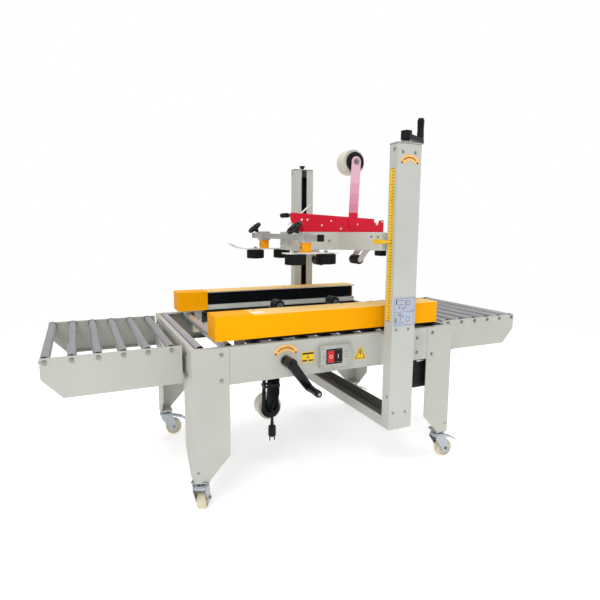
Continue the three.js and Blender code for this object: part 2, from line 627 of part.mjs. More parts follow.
function widthCrank() {
  const angle = rad(WIDTH_CRANK_ANGLE);
  const centre = [WIDTH_SCREW_X, WIDTH_SCREW_Z];
  const tip = [centre[0] + CRANK_ARM * Math.cos(angle), centre[1] + CRANK_ARM * Math.sin(angle)];
  const back = CRANK_REACH_Y - CRANK_GRIP_LENGTH - 1;
  const grip = crankGrip(CRANK_GRIP_LENGTH).map(([r, y]) => [r, y - CRANK_REACH_Y]);
  return join([
    bar('y', WIDTH_SCREW_RADIUS, [-back + 2, 338], centre),
    bar('y', 18, [-back - 4, -back + 24], centre, 20),
    plateXZ(link(centre, 15, tip, 12.5), [-back - 2, -back + 14]),
    turnedY(grip, tip, 16),
  ]);
}

// ---- press brackets with their wheels and knobs ----
function pressBracket(side) {
  const y = side * PRESS_Y;
  const across = (half) => [y - half, y + half];
  const pieces = [
    box([-77, -35], across(18), [824, 860]),
    box(PRESS_POST_X, across(14), [PRESS_PLATE_Z[0] + 1, 825]),
    box([-134, 64], across(25), PRESS_PLATE_Z),
    ...PRESS_WHEEL_X.map((x) => bar('z', 5, [PRESS_WHEEL_Z[0] + 2, PRESS_PLATE_Z[0] + 1], [x, y], 12)),
  ];
  if (side > 0) {
    const wing = [
      [-134, 786], [-134, 790], [-160, 793], [-184, 800], [-206, 812], [-208, 808], [-186, 796],
      [-160, 789],
    ];
    pieces.push(plateXZ(wing, across(25)));
  }
  return cut(join(pieces), [
    box([PRESS_BAR_X[0] - 0.5, PRESS_BAR_X[1] + 0.5], across(20),
      [PRESS_BAR_Z[0] - 0.5, PRESS_BAR_Z[1] + 0.5]),
  ]);
}

function pressWheel(x, side) {
  const r = PRESS_WHEEL_RADIUS;
  const [low, high] = PRESS_WHEEL_Z;
  return turnedZ([
    [5.6, low], [r - 2, low], [r, low + 2], [r, high - 2], [r - 2, high], [5.6, high], [5.6, low],
  ], [x, side * PRESS_Y], 24);
}

// A star knob on a short stem, drawn upright about the Z axis and then tilted.
function pressKnob(side) {
  const lobes = 5;
  const outline = Array.from({ length: lobes * 6 }, (_, i) => {
    const angle = (i / (lobes * 6)) * 2 * Math.PI;
    const radius = 25 + 3 * Math.cos(lobes * angle);
    return [radius * Math.cos(angle), radius * Math.sin(angle)];
  });
  const knob = join([
    plateXY(outline, [-8, 8]),
    bar('z', 9, [-18, -7], [0, 0], 12),
    bar('z', 4, [-24, -17], [0, 0], 8),
  ]);
  return knob.rotate([0, -KNOB_TILT, 0]).translate([KNOB_CENTRE[0], side * PRESS_Y, KNOB_CENTRE[1]]);
}

// ---- switch box and its two buttons ----
function switchBox() {
  const front = -FRAME_HALF_WIDTH - GAP - SWITCH_DEPTH;
  const window = Object.values(BUTTON_X).map((x) => (
    box([x - BUTTON_HALF[0] - 0.6, x + BUTTON_HALF[0] + 0.6], [front - 1, front + 11],
      [BUTTON_Z - BUTTON_HALF[1] - 0.6, BUTTON_Z + BUTTON_HALF[1] + 0.6])));
  return cut(box(SWITCH_X, [front, -FRAME_HALF_WIDTH - GAP], SWITCH_Z), window);
}

function button(x) {
  const front = -FRAME_HALF_WIDTH - GAP - SWITCH_DEPTH;
  return box([x - BUTTON_HALF[0], x + BUTTON_HALF[0]], [front - 2, front + 6],
    [BUTTON_Z - BUTTON_HALF[1], BUTTON_Z + BUTTON_HALF[1]]);
}

// ---- mains cord: a tied hank under its gland, with the plug hanging from it ----
function cordHank() {
  const inset = HANK_RADIUS;
  const outline = link([HANK_X, HANK_Z[0] + inset], inset, [HANK_X, HANK_Z[1] - inset], inset, 10);
  const half = HANK_HALF_SPREAD + CORD_RADIUS + 0.2;
  return plateXZ(outline, [HANK_Y - half, HANK_Y + half]);
}

function plug() {
  const top = HANK_Z[0] - GAP;
  const y = HANK_Y - HANK_HALF_SPREAD;
  const profile = [
    [0, top - 86], [13, top - 86], [15, top - 82], [15, top - 60], [14, top - 46], [7, top - 42],
    [CORD_RADIUS + 0.5, top], [0, top],
  ];
  const pins = [-9.5, 9.5].map((x) => (
    bar('z', 2.4, [top - 104, top - 85], [HANK_X + x, y], 8)));
  return join([turnedZ(profile, [HANK_X, y], 16), ...pins]);
}

// ---- assembly ----
add('main_frame', mainFrame(), BEIGE);
add('lower_tape_head', lowerTapeHead(), RED);
add('base_beam', baseBeam(), BEIGE);

const SIDES = { near: -1, far: 1 };
const ENDS = { left: -1, right: 1 };
const CASTER_HEADING = { near_left: 65, near_right: 0, far_left: 0, far_right: 0 };

for (const [sideName, side] of Object.entries(SIDES)) {
  for (const [endName, end] of Object.entries(ENDS)) {
    const corner = `${sideName}_${endName}`;
    add(`leg_${corner}`, leg(end, side), BEIGE);
    const caster = new THREE.Group();
    caster.position.set(end * CASTER_X, side * CASTER_Y, -DATUM_HEIGHT);
    caster.rotation.z = rad(CASTER_HEADING[corner]);
    machine.add(caster);
    add(`caster_fork_${corner}`, casterFork(), ZINC, caster);
    add(`caster_wheel_${corner}`, casterWheel(), CREAM, caster);
  }
  add(`column_${sideName}`, column(side), BEIGE);
  add(`belt_carriage_${sideName}`, beltCarriage(side), BEIGE);
  add(`belt_cover_${sideName}`, beltCover(side), YELLOW);
  add(`drive_belt_${sideName}`, driveBelt(side), BELT);
  add(`press_bracket_${sideName}`, pressBracket(side), YELLOW);
  add(`press_knob_${sideName}`, pressKnob(side), BLACK);
  PRESS_WHEEL_X.forEach((x, i) => {
    add(`press_wheel_${sideName}_${i + 1}`, pressWheel(x, side), BLACK);
  });
}

for (const [tableName, end] of [['infeed', -1], ['outfeed', 1]]) {
  add(`${tableName}_table`, table(end), BEIGE);
  tableRollerPositions().forEach((x, i) => {
    add(`${tableName}_roller_${i + 1}`, tableRoller(end * x), STEEL);
  });
}

add('head_carriage', headCarriage(), BEIGE);
add('upper_tape_head', upperTapeHead(), RED);
add('upper_front_arm', swingArm(UPPER_FRONT), STEEL);
add('upper_rear_arm', swingArm(UPPER_REAR), STEEL);
add('lower_front_arm', swingArm(LOWER_FRONT), STEEL);
add('lower_rear_arm', swingArm(LOWER_REAR), STEEL);
add('upper_tape_roll', tapeRoll(UPPER_ROLL), TAPE);
add('lower_tape_roll', tapeRoll(LOWER_ROLL), TAPE);
add('height_crank', heightCrank(), BLACK);
add('width_crank', widthCrank(), BLACK);
add('switch_box', switchBox(), PALE_GREY);
for (const [name, x] of Object.entries(BUTTON_X)) {
  add(name, button(x), name === 'stop_button' ? RED : BLACK);
}
add('cord_hank', cordHank(), BLACK);
add('plug', plug(), BLACK);

export default machine;
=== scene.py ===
"""Looks for the carton sealer: materials on every CAD node, small details on top of them, the tied
mains cord, a pale studio and the camera. +X is along the carton's travel and +Z is up. Blender works
in metres; the details are given in millimetres from the machine's datum."""
import math

import bmesh
import bpy
from mathutils import Matrix, Vector


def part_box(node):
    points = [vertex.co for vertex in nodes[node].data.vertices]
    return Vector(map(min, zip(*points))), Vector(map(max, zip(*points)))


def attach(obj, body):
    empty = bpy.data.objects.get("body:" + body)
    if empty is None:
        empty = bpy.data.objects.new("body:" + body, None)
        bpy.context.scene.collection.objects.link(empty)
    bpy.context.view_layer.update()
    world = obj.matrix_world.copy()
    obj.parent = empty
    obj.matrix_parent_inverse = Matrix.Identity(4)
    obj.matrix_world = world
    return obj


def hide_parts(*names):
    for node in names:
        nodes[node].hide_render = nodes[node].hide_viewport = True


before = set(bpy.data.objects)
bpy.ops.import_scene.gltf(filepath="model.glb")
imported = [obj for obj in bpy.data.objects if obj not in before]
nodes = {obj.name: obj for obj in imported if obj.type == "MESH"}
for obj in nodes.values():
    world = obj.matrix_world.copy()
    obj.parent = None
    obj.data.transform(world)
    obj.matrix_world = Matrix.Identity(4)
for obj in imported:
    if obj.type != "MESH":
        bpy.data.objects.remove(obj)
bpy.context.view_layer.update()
MM = 0.001


def corner_box(name):
    low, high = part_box(name)
    return Vector(low), Vector(high)


# The datum is on the centre line between the two columns' outer faces, DATUM above the floor.
CENTRE_Y = (corner_box("column_near")[0].y + corner_box("column_far")[1].y) / 2
DATUM = 0.012


# ---- camera: in front of the operator's side and towards the infeed; its angles are degrees ----
LENS_MM = 28.84
SENSOR_MM = 36
CAMERA_PLACE = (-0.7765, -1.7186 + CENTRE_Y, 0.8714 + DATUM)
CAMERA_YAW = 24.836
CAMERA_PITCH = 8.415
CAMERA_ROLL = 0.327


def make_camera():
    data = bpy.data.cameras.new("camera")
    data.lens = LENS_MM
    data.sensor_width = SENSOR_MM
    camera = bpy.data.objects.new("camera", data)
    bpy.context.collection.objects.link(camera)
    yaw = math.radians(CAMERA_YAW)
    pitch = math.radians(CAMERA_PITCH)
    roll = math.radians(CAMERA_ROLL)
    aim = Matrix.Rotation(-yaw, 4, "Z") @ Matrix.Rotation(math.pi / 2 - pitch, 4, "X")
    camera.matrix_world = Matrix.Translation(CAMERA_PLACE) @ aim @ Matrix.Rotation(roll, 4, "Z")
    bpy.context.scene.camera = camera


make_camera()


# ---- materials ----
PAINT_SHINE = 0.22  # specular level of paint and plastic where no other is given
METAL_SHINE = 0.5
PAINT_SPREAD = 0.03  # how far noise varies a paint's colour and its roughness
ROUGHNESS_SPREAD = 0.06
PATCH_SCALE = 6  # noise scales, from slow colour patches to the fine grain of a powder coat
WEAR_SCALE = 18
GRAIN_SCALE = 900


def new_material(name, color, roughness, metallic=0.0, shine=PAINT_SHINE):
    material = bpy.data.materials.new("finish_" + name)
    material.use_nodes = True
    shader = material.node_tree.nodes["Principled BSDF"]
    shader.inputs["Base Color"].default_value = (*color, 1)
    shader.inputs["Roughness"].default_value = roughness
    shader.inputs["Metallic"].default_value = metallic
    shader.inputs["Specular IOR Level"].default_value = METAL_SHINE if metallic else shine
    return material, shader


def object_noise(material, scale, detail=3.0, stretch=(1, 1, 1)):
    tree = material.node_tree
    place = tree.nodes.new("ShaderNodeTexCoord")
    mapping = tree.nodes.new("ShaderNodeMapping")
    mapping.inputs["Scale"].default_value = stretch
    noise = tree.nodes.new("ShaderNodeTexNoise")
    noise.inputs["Scale"].default_value = scale
    noise.inputs["Detail"].default_value = detail
    tree.links.new(place.outputs["Object"], mapping.inputs["Vector"])
    tree.links.new(mapping.outputs["Vector"], noise.inputs["Vector"])
    return noise.outputs["Fac"]


def ramp(material, source, stops):
    node = material.node_tree.nodes.new("ShaderNodeValToRGB")
    elements = node.color_ramp.elements
    while len(elements) < len(stops):
        elements.new(0.5)
    for element, (position, color) in zip(elements, stops):
        element.position = position
        element.color = (*color, 1) if len(color) == 3 else (color[0], color[0], color[0], 1)
    material.node_tree.links.new(source, node.inputs["Fac"])
    return node.outputs["Color"]


def mottled(material, color, spread, scale):
    """The colour, varied a little over the surface by noise."""
    dark = tuple(c * (1 - spread) for c in color)
    light = tuple(min(1, c * (1 + spread)) for c in color)
    return ramp(material, object_noise(material, scale), [(0.35, dark), (0.65, light)])


def mottle(material, shader, color, spread, scale):
    tint = mottled(material, color, spread, scale)
    material.node_tree.links.new(tint, shader.inputs["Base Color"])


def vary_roughness(material, shader, low, high, scale, stretch=(1, 1, 1)):
    source = object_noise(material, scale, 4.0, stretch)
    value = ramp(material, source, [(0.3, (low,)), (0.7, (high,))])
    material.node_tree.links.new(value, shader.inputs["Roughness"])


def bump(material, shader, scale, height, stretch=(1, 1, 1)):
    tree = material.node_tree
    node = tree.nodes.new("ShaderNodeBump")
    node.inputs["Strength"].default_value = 1.0
    node.inputs["Distance"].default_value = height
    tree.links.new(object_noise(material, scale, 3.0, stretch), node.inputs["Height"])
    tree.links.new(node.outputs["Normal"], shader.inputs["Normal"])


def powder_coat(name, color, roughness=0.45):
    material, shader = new_material(name, color, roughness)
    mottle(material, shader, color, PAINT_SPREAD, PATCH_SCALE)
    vary_roughness(material, shader, roughness - ROUGHNESS_SPREAD, roughness + ROUGHNESS_SPREAD,
                   WEAR_SCALE)
    bump(material, shader, GRAIN_SCALE, 0.00012)
    return material


def turned_metal(name, color, roughness, stretch=(1, 1, 1)):
    material, shader = new_material(name, color, roughness, 1.0)
    mottle(material, shader, color, 0.05, 12)
    vary_roughness(material, shader, roughness - ROUGHNESS_SPREAD, roughness + 0.1, 60, stretch)
    return material


def moulded(name, color, roughness, grain=0.00006, shine=PAINT_SHINE):
    material, shader = new_material(name, color, roughness, 0.0, shine)
    mottle(material, shader, color, 0.06, 25)
    bump(material, shader, 700, grain)
    return material


def math_node(tree, operation, first, second):
    """The result of one operation on two values; the first is a socket, the second a socket or a number."""
    node = tree.nodes.new("ShaderNodeMath")
    node.operation = operation
    tree.links.new(first, node.inputs[0])
    if isinstance(second, (int, float)):
        node.inputs[1].default_value = second
    else:
        tree.links.new(second, node.inputs[1])
    return node.outputs[0]


def inside(material, low, high):
    """1 inside a box given in millimetres from the datum, 0 outside; None leaves a side open."""
    tree = material.node_tree
    place = tree.nodes.new("ShaderNodeTexCoord")
    split = tree.nodes.new("ShaderNodeSeparateXYZ")
    tree.links.new(place.outputs["Object"], split.inputs["Vector"])
    shift = (0, CENTRE_Y, DATUM)
    result = None
    for axis in range(3):
        for bounds, operation in ((low, "GREATER_THAN"), (high, "LESS_THAN")):
            if bounds[axis] is None:
                continue
            limit = bounds[axis] * MM + shift[axis]
            test = math_node(tree, operation, split.outputs[axis], limit)
            result = test if result is None else math_node(tree, "MULTIPLY", result, test)
    return result


def two_finish(name, base, base_roughness, zones, shine=PAINT_SHINE):
    """One CAD node that is painted in zones: each is (low, high, colour, metallic) of a box."""
    material, shader = new_material(name, base, base_roughness, 0.0, shine)
    tree = material.node_tree
    tint = mottled(material, base, PAINT_SPREAD, PATCH_SCALE)
    metal = None
    for low, high, color, metallic in zones:
        mask = inside(material, low, high)
        mix = tree.nodes.new("ShaderNodeMix")
        mix.data_type = "RGBA"
        tree.links.new(mask, mix.inputs["Factor"])
        tree.links.new(tint, mix.inputs["A"])
        mix.inputs["B"].default_value = (*color, 1)
        tint = mix.outputs["Result"]
        level = math_node(tree, "MULTIPLY", mask, metallic)
        metal = level if metal is None else math_node(tree, "MAXIMUM", metal, level)
    tree.links.new(tint, shader.inputs["Base Color"])
    tree.links.new(metal, shader.inputs["Metallic"])
    vary_roughness(material, shader, base_roughness - ROUGHNESS_SPREAD,
                   base_roughness + ROUGHNESS_SPREAD, WEAR_SCALE)
    bump(material, shader, GRAIN_SCALE, 0.0001)
    return material


BEIGE_COLOR = (0.50, 0.505, 0.455)
# The columns: the frame's beige painted a little paler, as painted light on their higher faces.
COLUMN_LIT_COLOR = (0.525, 0.54, 0.50)
# The head carriage: the frame's beige painted paler, as painted light.
HEAD_LIT_COLOR = (0.60, 0.61, 0.56)
YELLOW_COLOR = (0.97, 0.40, 0.0)
RED_COLOR = (0.68, 0.008, 0.034)
STEEL_COLOR = (0.72, 0.71, 0.745)
PLATE_COLOR = (0.76, 0.76, 0.73)
CLAMP_COLOR = (0.60, 0.60, 0.59)
BAR_COLOR = (0.50, 0.50, 0.48)
FILM_COLOR = (0.72, 0.69, 0.60)
BLACK_COLOR = (0.016, 0.017, 0.02)
TYRE_COLOR = (0.014, 0.015, 0.017)
LOWER_TYRE_COLOR = (0.010, 0.011, 0.013)
LOWER_ARM_COLOR = (0.10, 0.10, 0.10)
# Darker paint on inner faces and paler paint on top stand for the shade and glare in the photo.
BED_SHADE = (0.20, 0.202, 0.175)
TABLE_SHADE = (0.31, 0.315, 0.275)
BEAM_SHADE = (0.17, 0.172, 0.14)
COLUMN_SHADE = (0.03, 0.03, 0.03)
COVER_GLARE = (0.90, 0.60, 0.22)
ARM_GLARE = ((0.70, 0.25, 0.36), (0.73, 0.30, 0.41), (0.76, 0.38, 0.48), (0.80, 0.47, 0.56))

BEIGE = powder_coat("beige_paint", BEIGE_COLOR)
# Pale metal as a painted highlight: the belt covers' inner lips and the drive motors' top bands.
PAINTED_HIGHLIGHT_METAL = turned_metal("painted_highlight_metal", (0.78, 0.78, 0.76), 0.42)
ROLLER_STEEL = turned_metal("roller_steel", (0.60, 0.595, 0.62), 0.26, (1, 0.02, 1))
ZINC = turned_metal("zinc_plate", (0.42, 0.45, 0.48), 0.28)
BOLT_STEEL = turned_metal("bolt_steel", (0.33, 0.33, 0.31), 0.32)
BRASS = turned_metal("brass", (0.72, 0.50, 0.22), 0.35)
BLACK_PLASTIC = moulded("black_plastic", (0.009, 0.0095, 0.011), 0.36, 0.00006, 0.16)
GLOSS_BLACK = moulded("gloss_black", (0.004, 0.005, 0.007), 0.26, 0.00003, 0.24)
BLACK_RUBBER = moulded("black_rubber", (0.007, 0.0075, 0.008), 0.6, 0.00015, 0.15)
BELT_RUBBER = moulded("belt_rubber", (0.003, 0.0045, 0.005), 0.75, 0.0002, 0.06)
BRUSH_BLACK = moulded("brush_black", (0.006, 0.0065, 0.007), 0.8, 0.0003)
GREY_PLASTIC = moulded("grey_plastic", (0.42, 0.43, 0.40), 0.5)
DARK_GREY = moulded("dark_grey", (0.20, 0.205, 0.19), 0.5)
STRIP_GREY = moulded("strip_grey", (0.50, 0.52, 0.49), 0.5)
WHITE_PLASTIC = moulded("white_plastic", (0.8, 0.8, 0.78), 0.4)
RED_PLASTIC = moulded("red_plastic", (0.62, 0.02, 0.02), 0.3)
CREAM_NYLON = moulded("cream_nylon", (0.66, 0.61, 0.44), 0.4)
BLUE_LABEL = moulded("blue_label", (0.44, 0.48, 0.57), 0.5, 0)
ORANGE_LABEL = moulded("orange_label", (0.93, 0.52, 0.16), 0.5, 0)
YELLOW_LABEL = moulded("yellow_label", (0.92, 0.58, 0.02), 0.5, 0)
WHITE_LABEL = moulded("white_label", (0.82, 0.82, 0.80), 0.5, 0)
DARK_PRINT = moulded("dark_print", (0.03, 0.03, 0.035), 0.5, 0)
GREY_PRINT = moulded("grey_print", (0.10, 0.13, 0.19), 0.5, 0)
ARROW_BROWN = moulded("arrow_brown", (0.20, 0.05, 0.02), 0.5, 0)

# Zones of the CAD nodes, in millimetres from the datum.
BELT_ENDS = (-300, 476)  # where the bed rollers lie under the belts
COVER = two_finish("cover_paint", YELLOW_COLOR, 0.45, [
    # the top face, short of its infeed end
    ((-292, None, 608.2), (None, None, None), COVER_GLARE, 0.0),
], 0.06)
TABLE = two_finish("table_paint", BEIGE_COLOR, 0.45, [
    # the rails' inner faces
    ((None, -276.6, None), (None, 276.6, 516), TABLE_SHADE, 0.0),
])
BEAM = two_finish("beam_paint", BEIGE_COLOR, 0.45, [
    # the inside of the channel
    ((166, -373, 186.5), (255, 373, 229), BEAM_SHADE, 0.0),
])
COLUMN = two_finish("column_paint", COLUMN_LIT_COLOR, 0.45, [
    # the inside of each column
    ((165.5, low, 188), (255.5, high, 1142), COLUMN_SHADE, 0.0)
    for low, high in ((-417.6, -375.4), (375.4, 417.6))
])
BED = two_finish("bed", BEIGE_COLOR, 0.4, [
    # the frame's inner faces
    ((-488.5, -344.5, 395), (488.5, 344.5, 512), BED_SHADE, 0.0),
    # the bed rollers, with painted shade: black under the belts and at their ends before the belts
    ((-476, -321.5, 494), (476, 321.5, 523), STEEL_COLOR, 1.0),
    ((BELT_ENDS[0], -322, 494), (BELT_ENDS[1], -250, 523), BLACK_COLOR, 0.0),
    ((BELT_ENDS[0], 250, 494), (BELT_ENDS[1], 322, 523), BLACK_COLOR, 0.0),
    ((-476, -322, 494), (BELT_ENDS[0], -315, 523), BLACK_COLOR, 0.0),
    ((-476, 315, 494), (BELT_ENDS[0], 322, 523), BLACK_COLOR, 0.0),
    # the two guide rods of the belt units
    ((-340, -338, 444), (-312, 338, 466), STEEL_COLOR, 1.0),
    ((276, -338, 444), (304, 338, 466), STEEL_COLOR, 1.0),
    # the cord gland
    ((-150, -100, 395), (-115, -40, 419.5), BLACK_COLOR, 0.0),
])
BELT_FRAME = two_finish("belt_frame", BEIGE_COLOR, 0.45, [
    # the drive motor
    ((330, None, 280), (430, None, 393), BLACK_COLOR, 0.0),
    # the pulleys, at the height of the belt
    ((None, None, 556), (None, None, 604), STEEL_COLOR, 1.0),
])
BRACKET = two_finish("bracket", PLATE_COLOR, 0.4, [
    # the clamp block, and its metal top
    ((-80, None, 790.5), (0, None, 824.2), YELLOW_COLOR, 0.0),
    ((-80, None, 824.2), (0, None, 862), CLAMP_COLOR, 0.7),
])
HEAD_PAINT = two_finish("head_paint", HEAD_LIT_COLOR, 0.45, [
    # the slides in the columns, black as painted shade inside the columns
    ((170, None, 780), (250, -362, 880), BLACK_COLOR, 0.0),
    ((170, 362, 780), (250, None, 880), BLACK_COLOR, 0.0),
    # the press bar
    ((-67, None, 831), (-45.5, None, 853), BAR_COLOR, 0.6),
])
ARM_BANDS = (936, 970, 1010, 1050, None)  # heights where the roll arm's glare changes
UPPER_RED = two_finish("upper_red", RED_COLOR, 0.38, [
    ((None, None, low), (None, None, high), color, 0.0)
    for low, high, color in zip(ARM_BANDS, ARM_BANDS[1:], ARM_GLARE)
] + [
    # the spacers between the side plates
    ((None, -40.5, 820), (None, 40.5, 935), STEEL_COLOR, 1.0),
])
LOWER_RED = two_finish("lower_red", RED_COLOR, 0.38, [
    # the roll arm, and the spacers between the side plates
    ((None, None, None), (None, None, 330), BLACK_COLOR, 0.0),
    ((None, -40.5, 380), (None, 40.5, 515), STEEL_COLOR, 1.0),
])
ARM = two_finish("arm", PLATE_COLOR, 0.4, [
    # the rubber roller
    ((None, -28, None), (None, 28, None), TYRE_COLOR, 0.0),
])
LOWER_ARM = two_finish("lower_arm", LOWER_ARM_COLOR, 0.45, [
    # the rubber roller
    ((None, -28, None), (None, 28, None), LOWER_TYRE_COLOR, 0.0),
])
ROLL = two_finish("roll", FILM_COLOR, 0.3, [
    # the hub's face on the near side
    ((None, None, None), (None, -29, None), BLACK_COLOR, 0.0),
])


# ---- mesh pieces, given in millimetres from the datum ----
WASHER = 1.0
WASHER_RATIO = 1.4  # a washer's radius over its bolt head's


def finish_piece(name, mesh, material, body, smooth=None):
    mesh.materials.clear()
    mesh.materials.append(material)
    piece = bpy.data.objects.new(name, mesh)
    bpy.context.collection.objects.link(piece)
    if smooth is not None:
        for face in mesh.polygons:
            face.use_smooth = True
        mesh.set_sharp_from_angle(angle=math.radians(smooth))
    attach(piece, body)
    return piece


class Shape:
    """Collects simple solids in one mesh, in millimetres with y = 0 on the machine's centre line."""

    def __init__(self):
        self.bm = bmesh.new()

    def place(self, made, matrix):
        bmesh.ops.transform(self.bm, matrix=matrix, verts=made)

    def box(self, x, y, z, bevel=0.0):
        """A box from its low and high x, y and z; bevel rounds its edges."""
        size = (x[1] - x[0], y[1] - y[0], z[1] - z[0])
        middle = ((x[0] + x[1]) / 2, (y[0] + y[1]) / 2, (z[0] + z[1]) / 2)
        made = bmesh.ops.create_cube(self.bm, size=1.0)["verts"]
        self.place(made, Matrix.Translation(middle) @ Matrix.Diagonal((*size, 1)))
        if bevel:
            edges = {edge for vert in made for edge in vert.link_edges}
            bmesh.ops.bevel(self.bm, geom=list(edges), offset=bevel, segments=2, affect="EDGES")
        return self

    def disc(self, centre, axis, radius, length, sides=24, far_radius=None):
        """A round bar of that length centred on a point; far_radius is for a taper along +axis."""
        end = radius if far_radius is None else far_radius
        made = bmesh.ops.create_cone(self.bm, cap_ends=True, segments=sides, radius1=radius,
                                     radius2=end, depth=length)["verts"]
        turn = Vector((0, 0, 1)).rotation_difference(Vector(axis)).to_matrix().to_4x4()
        self.place(made, Matrix.Translation(centre) @ turn)
        return self

    def plate(self, points, origin, across, up, thickness):
        """A flat outline in the plane of two directions, given thickness along their cross product."""
        across = Vector(across)
        up = Vector(up)
        lift = across.cross(up) * thickness
        flat = [Vector(origin) + across * u + up * v for u, v in points]
        low = [self.bm.verts.new(p) for p in flat]
        high = [self.bm.verts.new(p + lift) for p in flat]
        count = len(points)
        self.bm.faces.new(list(reversed(low)))
        self.bm.faces.new(high)
        for i in range(count):
            j = (i + 1) % count
            self.bm.faces.new((low[i], low[j], high[j], high[i]))
        return self

    def ring(self, centre, axis, outer, inner, length, sides=32):
        """A round tube of that length centred on a point."""
        rings = []
        turn = Vector((0, 0, 1)).rotation_difference(Vector(axis)).to_matrix()
        for radius, lift in ((outer, -0.5), (outer, 0.5), (inner, 0.5), (inner, -0.5)):
            loop = []
            for i in range(sides):
                angle = 2 * math.pi * i / sides
                point = Vector((radius * math.cos(angle), radius * math.sin(angle), lift * length))
                loop.append(self.bm.verts.new(Vector(centre) + turn @ point))
            rings.append(loop)
        for here, after in zip(rings, rings[1:] + rings[:1]):
            for i in range(sides):
                j = (i + 1) % sides
                self.bm.faces.new((here[i], here[j], after[j], after[i]))
        return self

    def bolt(self, x, y, z, axis, head=4.8, lift=3.2):
        """A hexagon head on its washer; the point is on the face that the washer rests on."""
        normal = Vector(axis)
        base = Vector((x, y, z))
        self.disc(base + normal * (WASHER / 2), normal, head * WASHER_RATIO, WASHER, 20)
        self.disc(base + normal * (WASHER + lift / 2), normal, head, lift, 6)
        return self

    def button_screw(self, x, y, z, axis, head=4.2):
        """A domed screw head."""
        normal = Vector(axis)
        base = Vector((x, y, z))
        self.disc(base + normal * 0.9, normal, head, 1.8, 20, head * 0.85)
        self.disc(base + normal * 2.1, normal, head * 0.85, 0.8, 20, head * 0.45)
        return self

    def make(self, name, material, body, smooth=None):
        bmesh.ops.recalc_face_normals(self.bm, faces=self.bm.faces)
        scale = Matrix.Translation((0, CENTRE_Y, DATUM)) @ Matrix.Diagonal((MM, MM, MM, 1))
        bmesh.ops.transform(self.bm, matrix=scale, verts=self.bm.verts)
        mesh = bpy.data.meshes.new(name)
        self.bm.to_mesh(mesh)
        self.bm.free()
        return finish_piece(name, mesh, material, body, smooth)


# ---- the mains cord: a tied hank below its gland, with the plug hanging from it ----
CORD_RADIUS = 4.0
HANK_X = -135.0
HANK_Y = -71.0
HANK_TOP = 395.7
HANK_BOTTOM = 170.3
HANK_FOLD = 27.0  # radius of a fold at the cord's middle
HANK_LAYERS = 4  # runs of cord side by side along Y
HANK_PITCH = 8.6
STRAIGHT = 24.0  # straight stretch at the gland and at the plug
SWAY_RADIUS = 40.0  # bends that take the cord from the middle to the side run
TIE_HALF = 5  # half the width of the tie
TIE_THICKNESS = 1.0
TIE_OUT = 0.8  # how far the tie stands out from the hank, and how far it sinks in
TIE_IN = 0.2


def sway(x0, x1, z_top, steps=10):
    """Points of an S that moves sideways from x0 to x1 while it goes down."""
    reach = x1 - x0
    angle = math.acos(1 - abs(reach) / (2 * SWAY_RADIUS))
    height = 2 * SWAY_RADIUS * math.sin(angle)
    points = []
    for i in range(steps + 1):
        share = 2 * i / steps
        if share <= 1:
            aside = SWAY_RADIUS * (1 - math.cos(angle * share))
            down = SWAY_RADIUS * math.sin(angle * share)
        else:
            aside = abs(reach) - SWAY_RADIUS * (1 - math.cos(angle * (2 - share)))
            down = height - SWAY_RADIUS * math.sin(angle * (2 - share))
        points.append((x0 + math.copysign(aside, reach), z_top - down))
    return points, z_top - height


def fold(z_centre, upward, steps=14):
    """Points of a half circle, from the right run to the left below or from left to right above."""
    points = []
    for i in range(steps + 1):
        angle = math.pi * i / steps
        aside = HANK_FOLD * math.cos(angle)
        if upward:
            points.append((HANK_X - aside, z_centre + HANK_FOLD * math.sin(angle)))
        else:
            points.append((HANK_X + aside, z_centre - HANK_FOLD * math.sin(angle)))
    return points


def straight(x, z0, z1, step=8.0):
    """Points between the ends of an upright run, without the ends."""
    count = max(2, round(abs(z1 - z0) / step))
    return [(x, z0 + (z1 - z0) * i / count) for i in range(1, count)]


def cord_route():
    """The cord's centre line in millimetres."""
    high = HANK_TOP - CORD_RADIUS - HANK_FOLD
    low = HANK_BOTTOM + CORD_RADIUS + HANK_FOLD
    right = HANK_X + HANK_FOLD
    left = HANK_X - HANK_FOLD
    back = HANK_Y + HANK_PITCH * (HANK_LAYERS - 1) / 2
    route = [(HANK_X, back, HANK_TOP)]
    route += [(x, back, z) for x, z in straight(HANK_X, HANK_TOP, HANK_TOP - STRAIGHT)]
    bend, z_end = sway(HANK_X, right, HANK_TOP - STRAIGHT)
    route += [(x, back, z) for x, z in bend]
    z_from = z_end
    for layer in range(HANK_LAYERS - 1):
        y = back - HANK_PITCH * layer
        after = y - HANK_PITCH
        route += [(x, y, z) for x, z in straight(right, z_from, low)]
        route += [(x, y, z) for x, z in fold(low, False)]
        rise = straight(left, low, high)
        for i, (x, z) in enumerate(rise):
            share = (i + 1) / (len(rise) + 1)
            ease = share * share * (3 - 2 * share)
            route.append((x, y + (after - y) * ease, z))
        route += [(x, after, z) for x, z in fold(high, True)]
        z_from = high
    y = back - HANK_PITCH * (HANK_LAYERS - 1)
    drop = 2 * SWAY_RADIUS * math.sin(math.acos(1 - HANK_FOLD / (2 * SWAY_RADIUS)))
    bend, z_end = sway(right, HANK_X, HANK_BOTTOM + STRAIGHT + drop)
    route += [(x, y, z) for x, z in straight(right, z_from, bend[0][1])]
    route += [(x, y, z) for x, z in bend]
    route += [(x, y, z) for x, z in straight(HANK_X, z_end, HANK_BOTTOM)]
    route.append((HANK_X, y, HANK_BOTTOM))
    return route


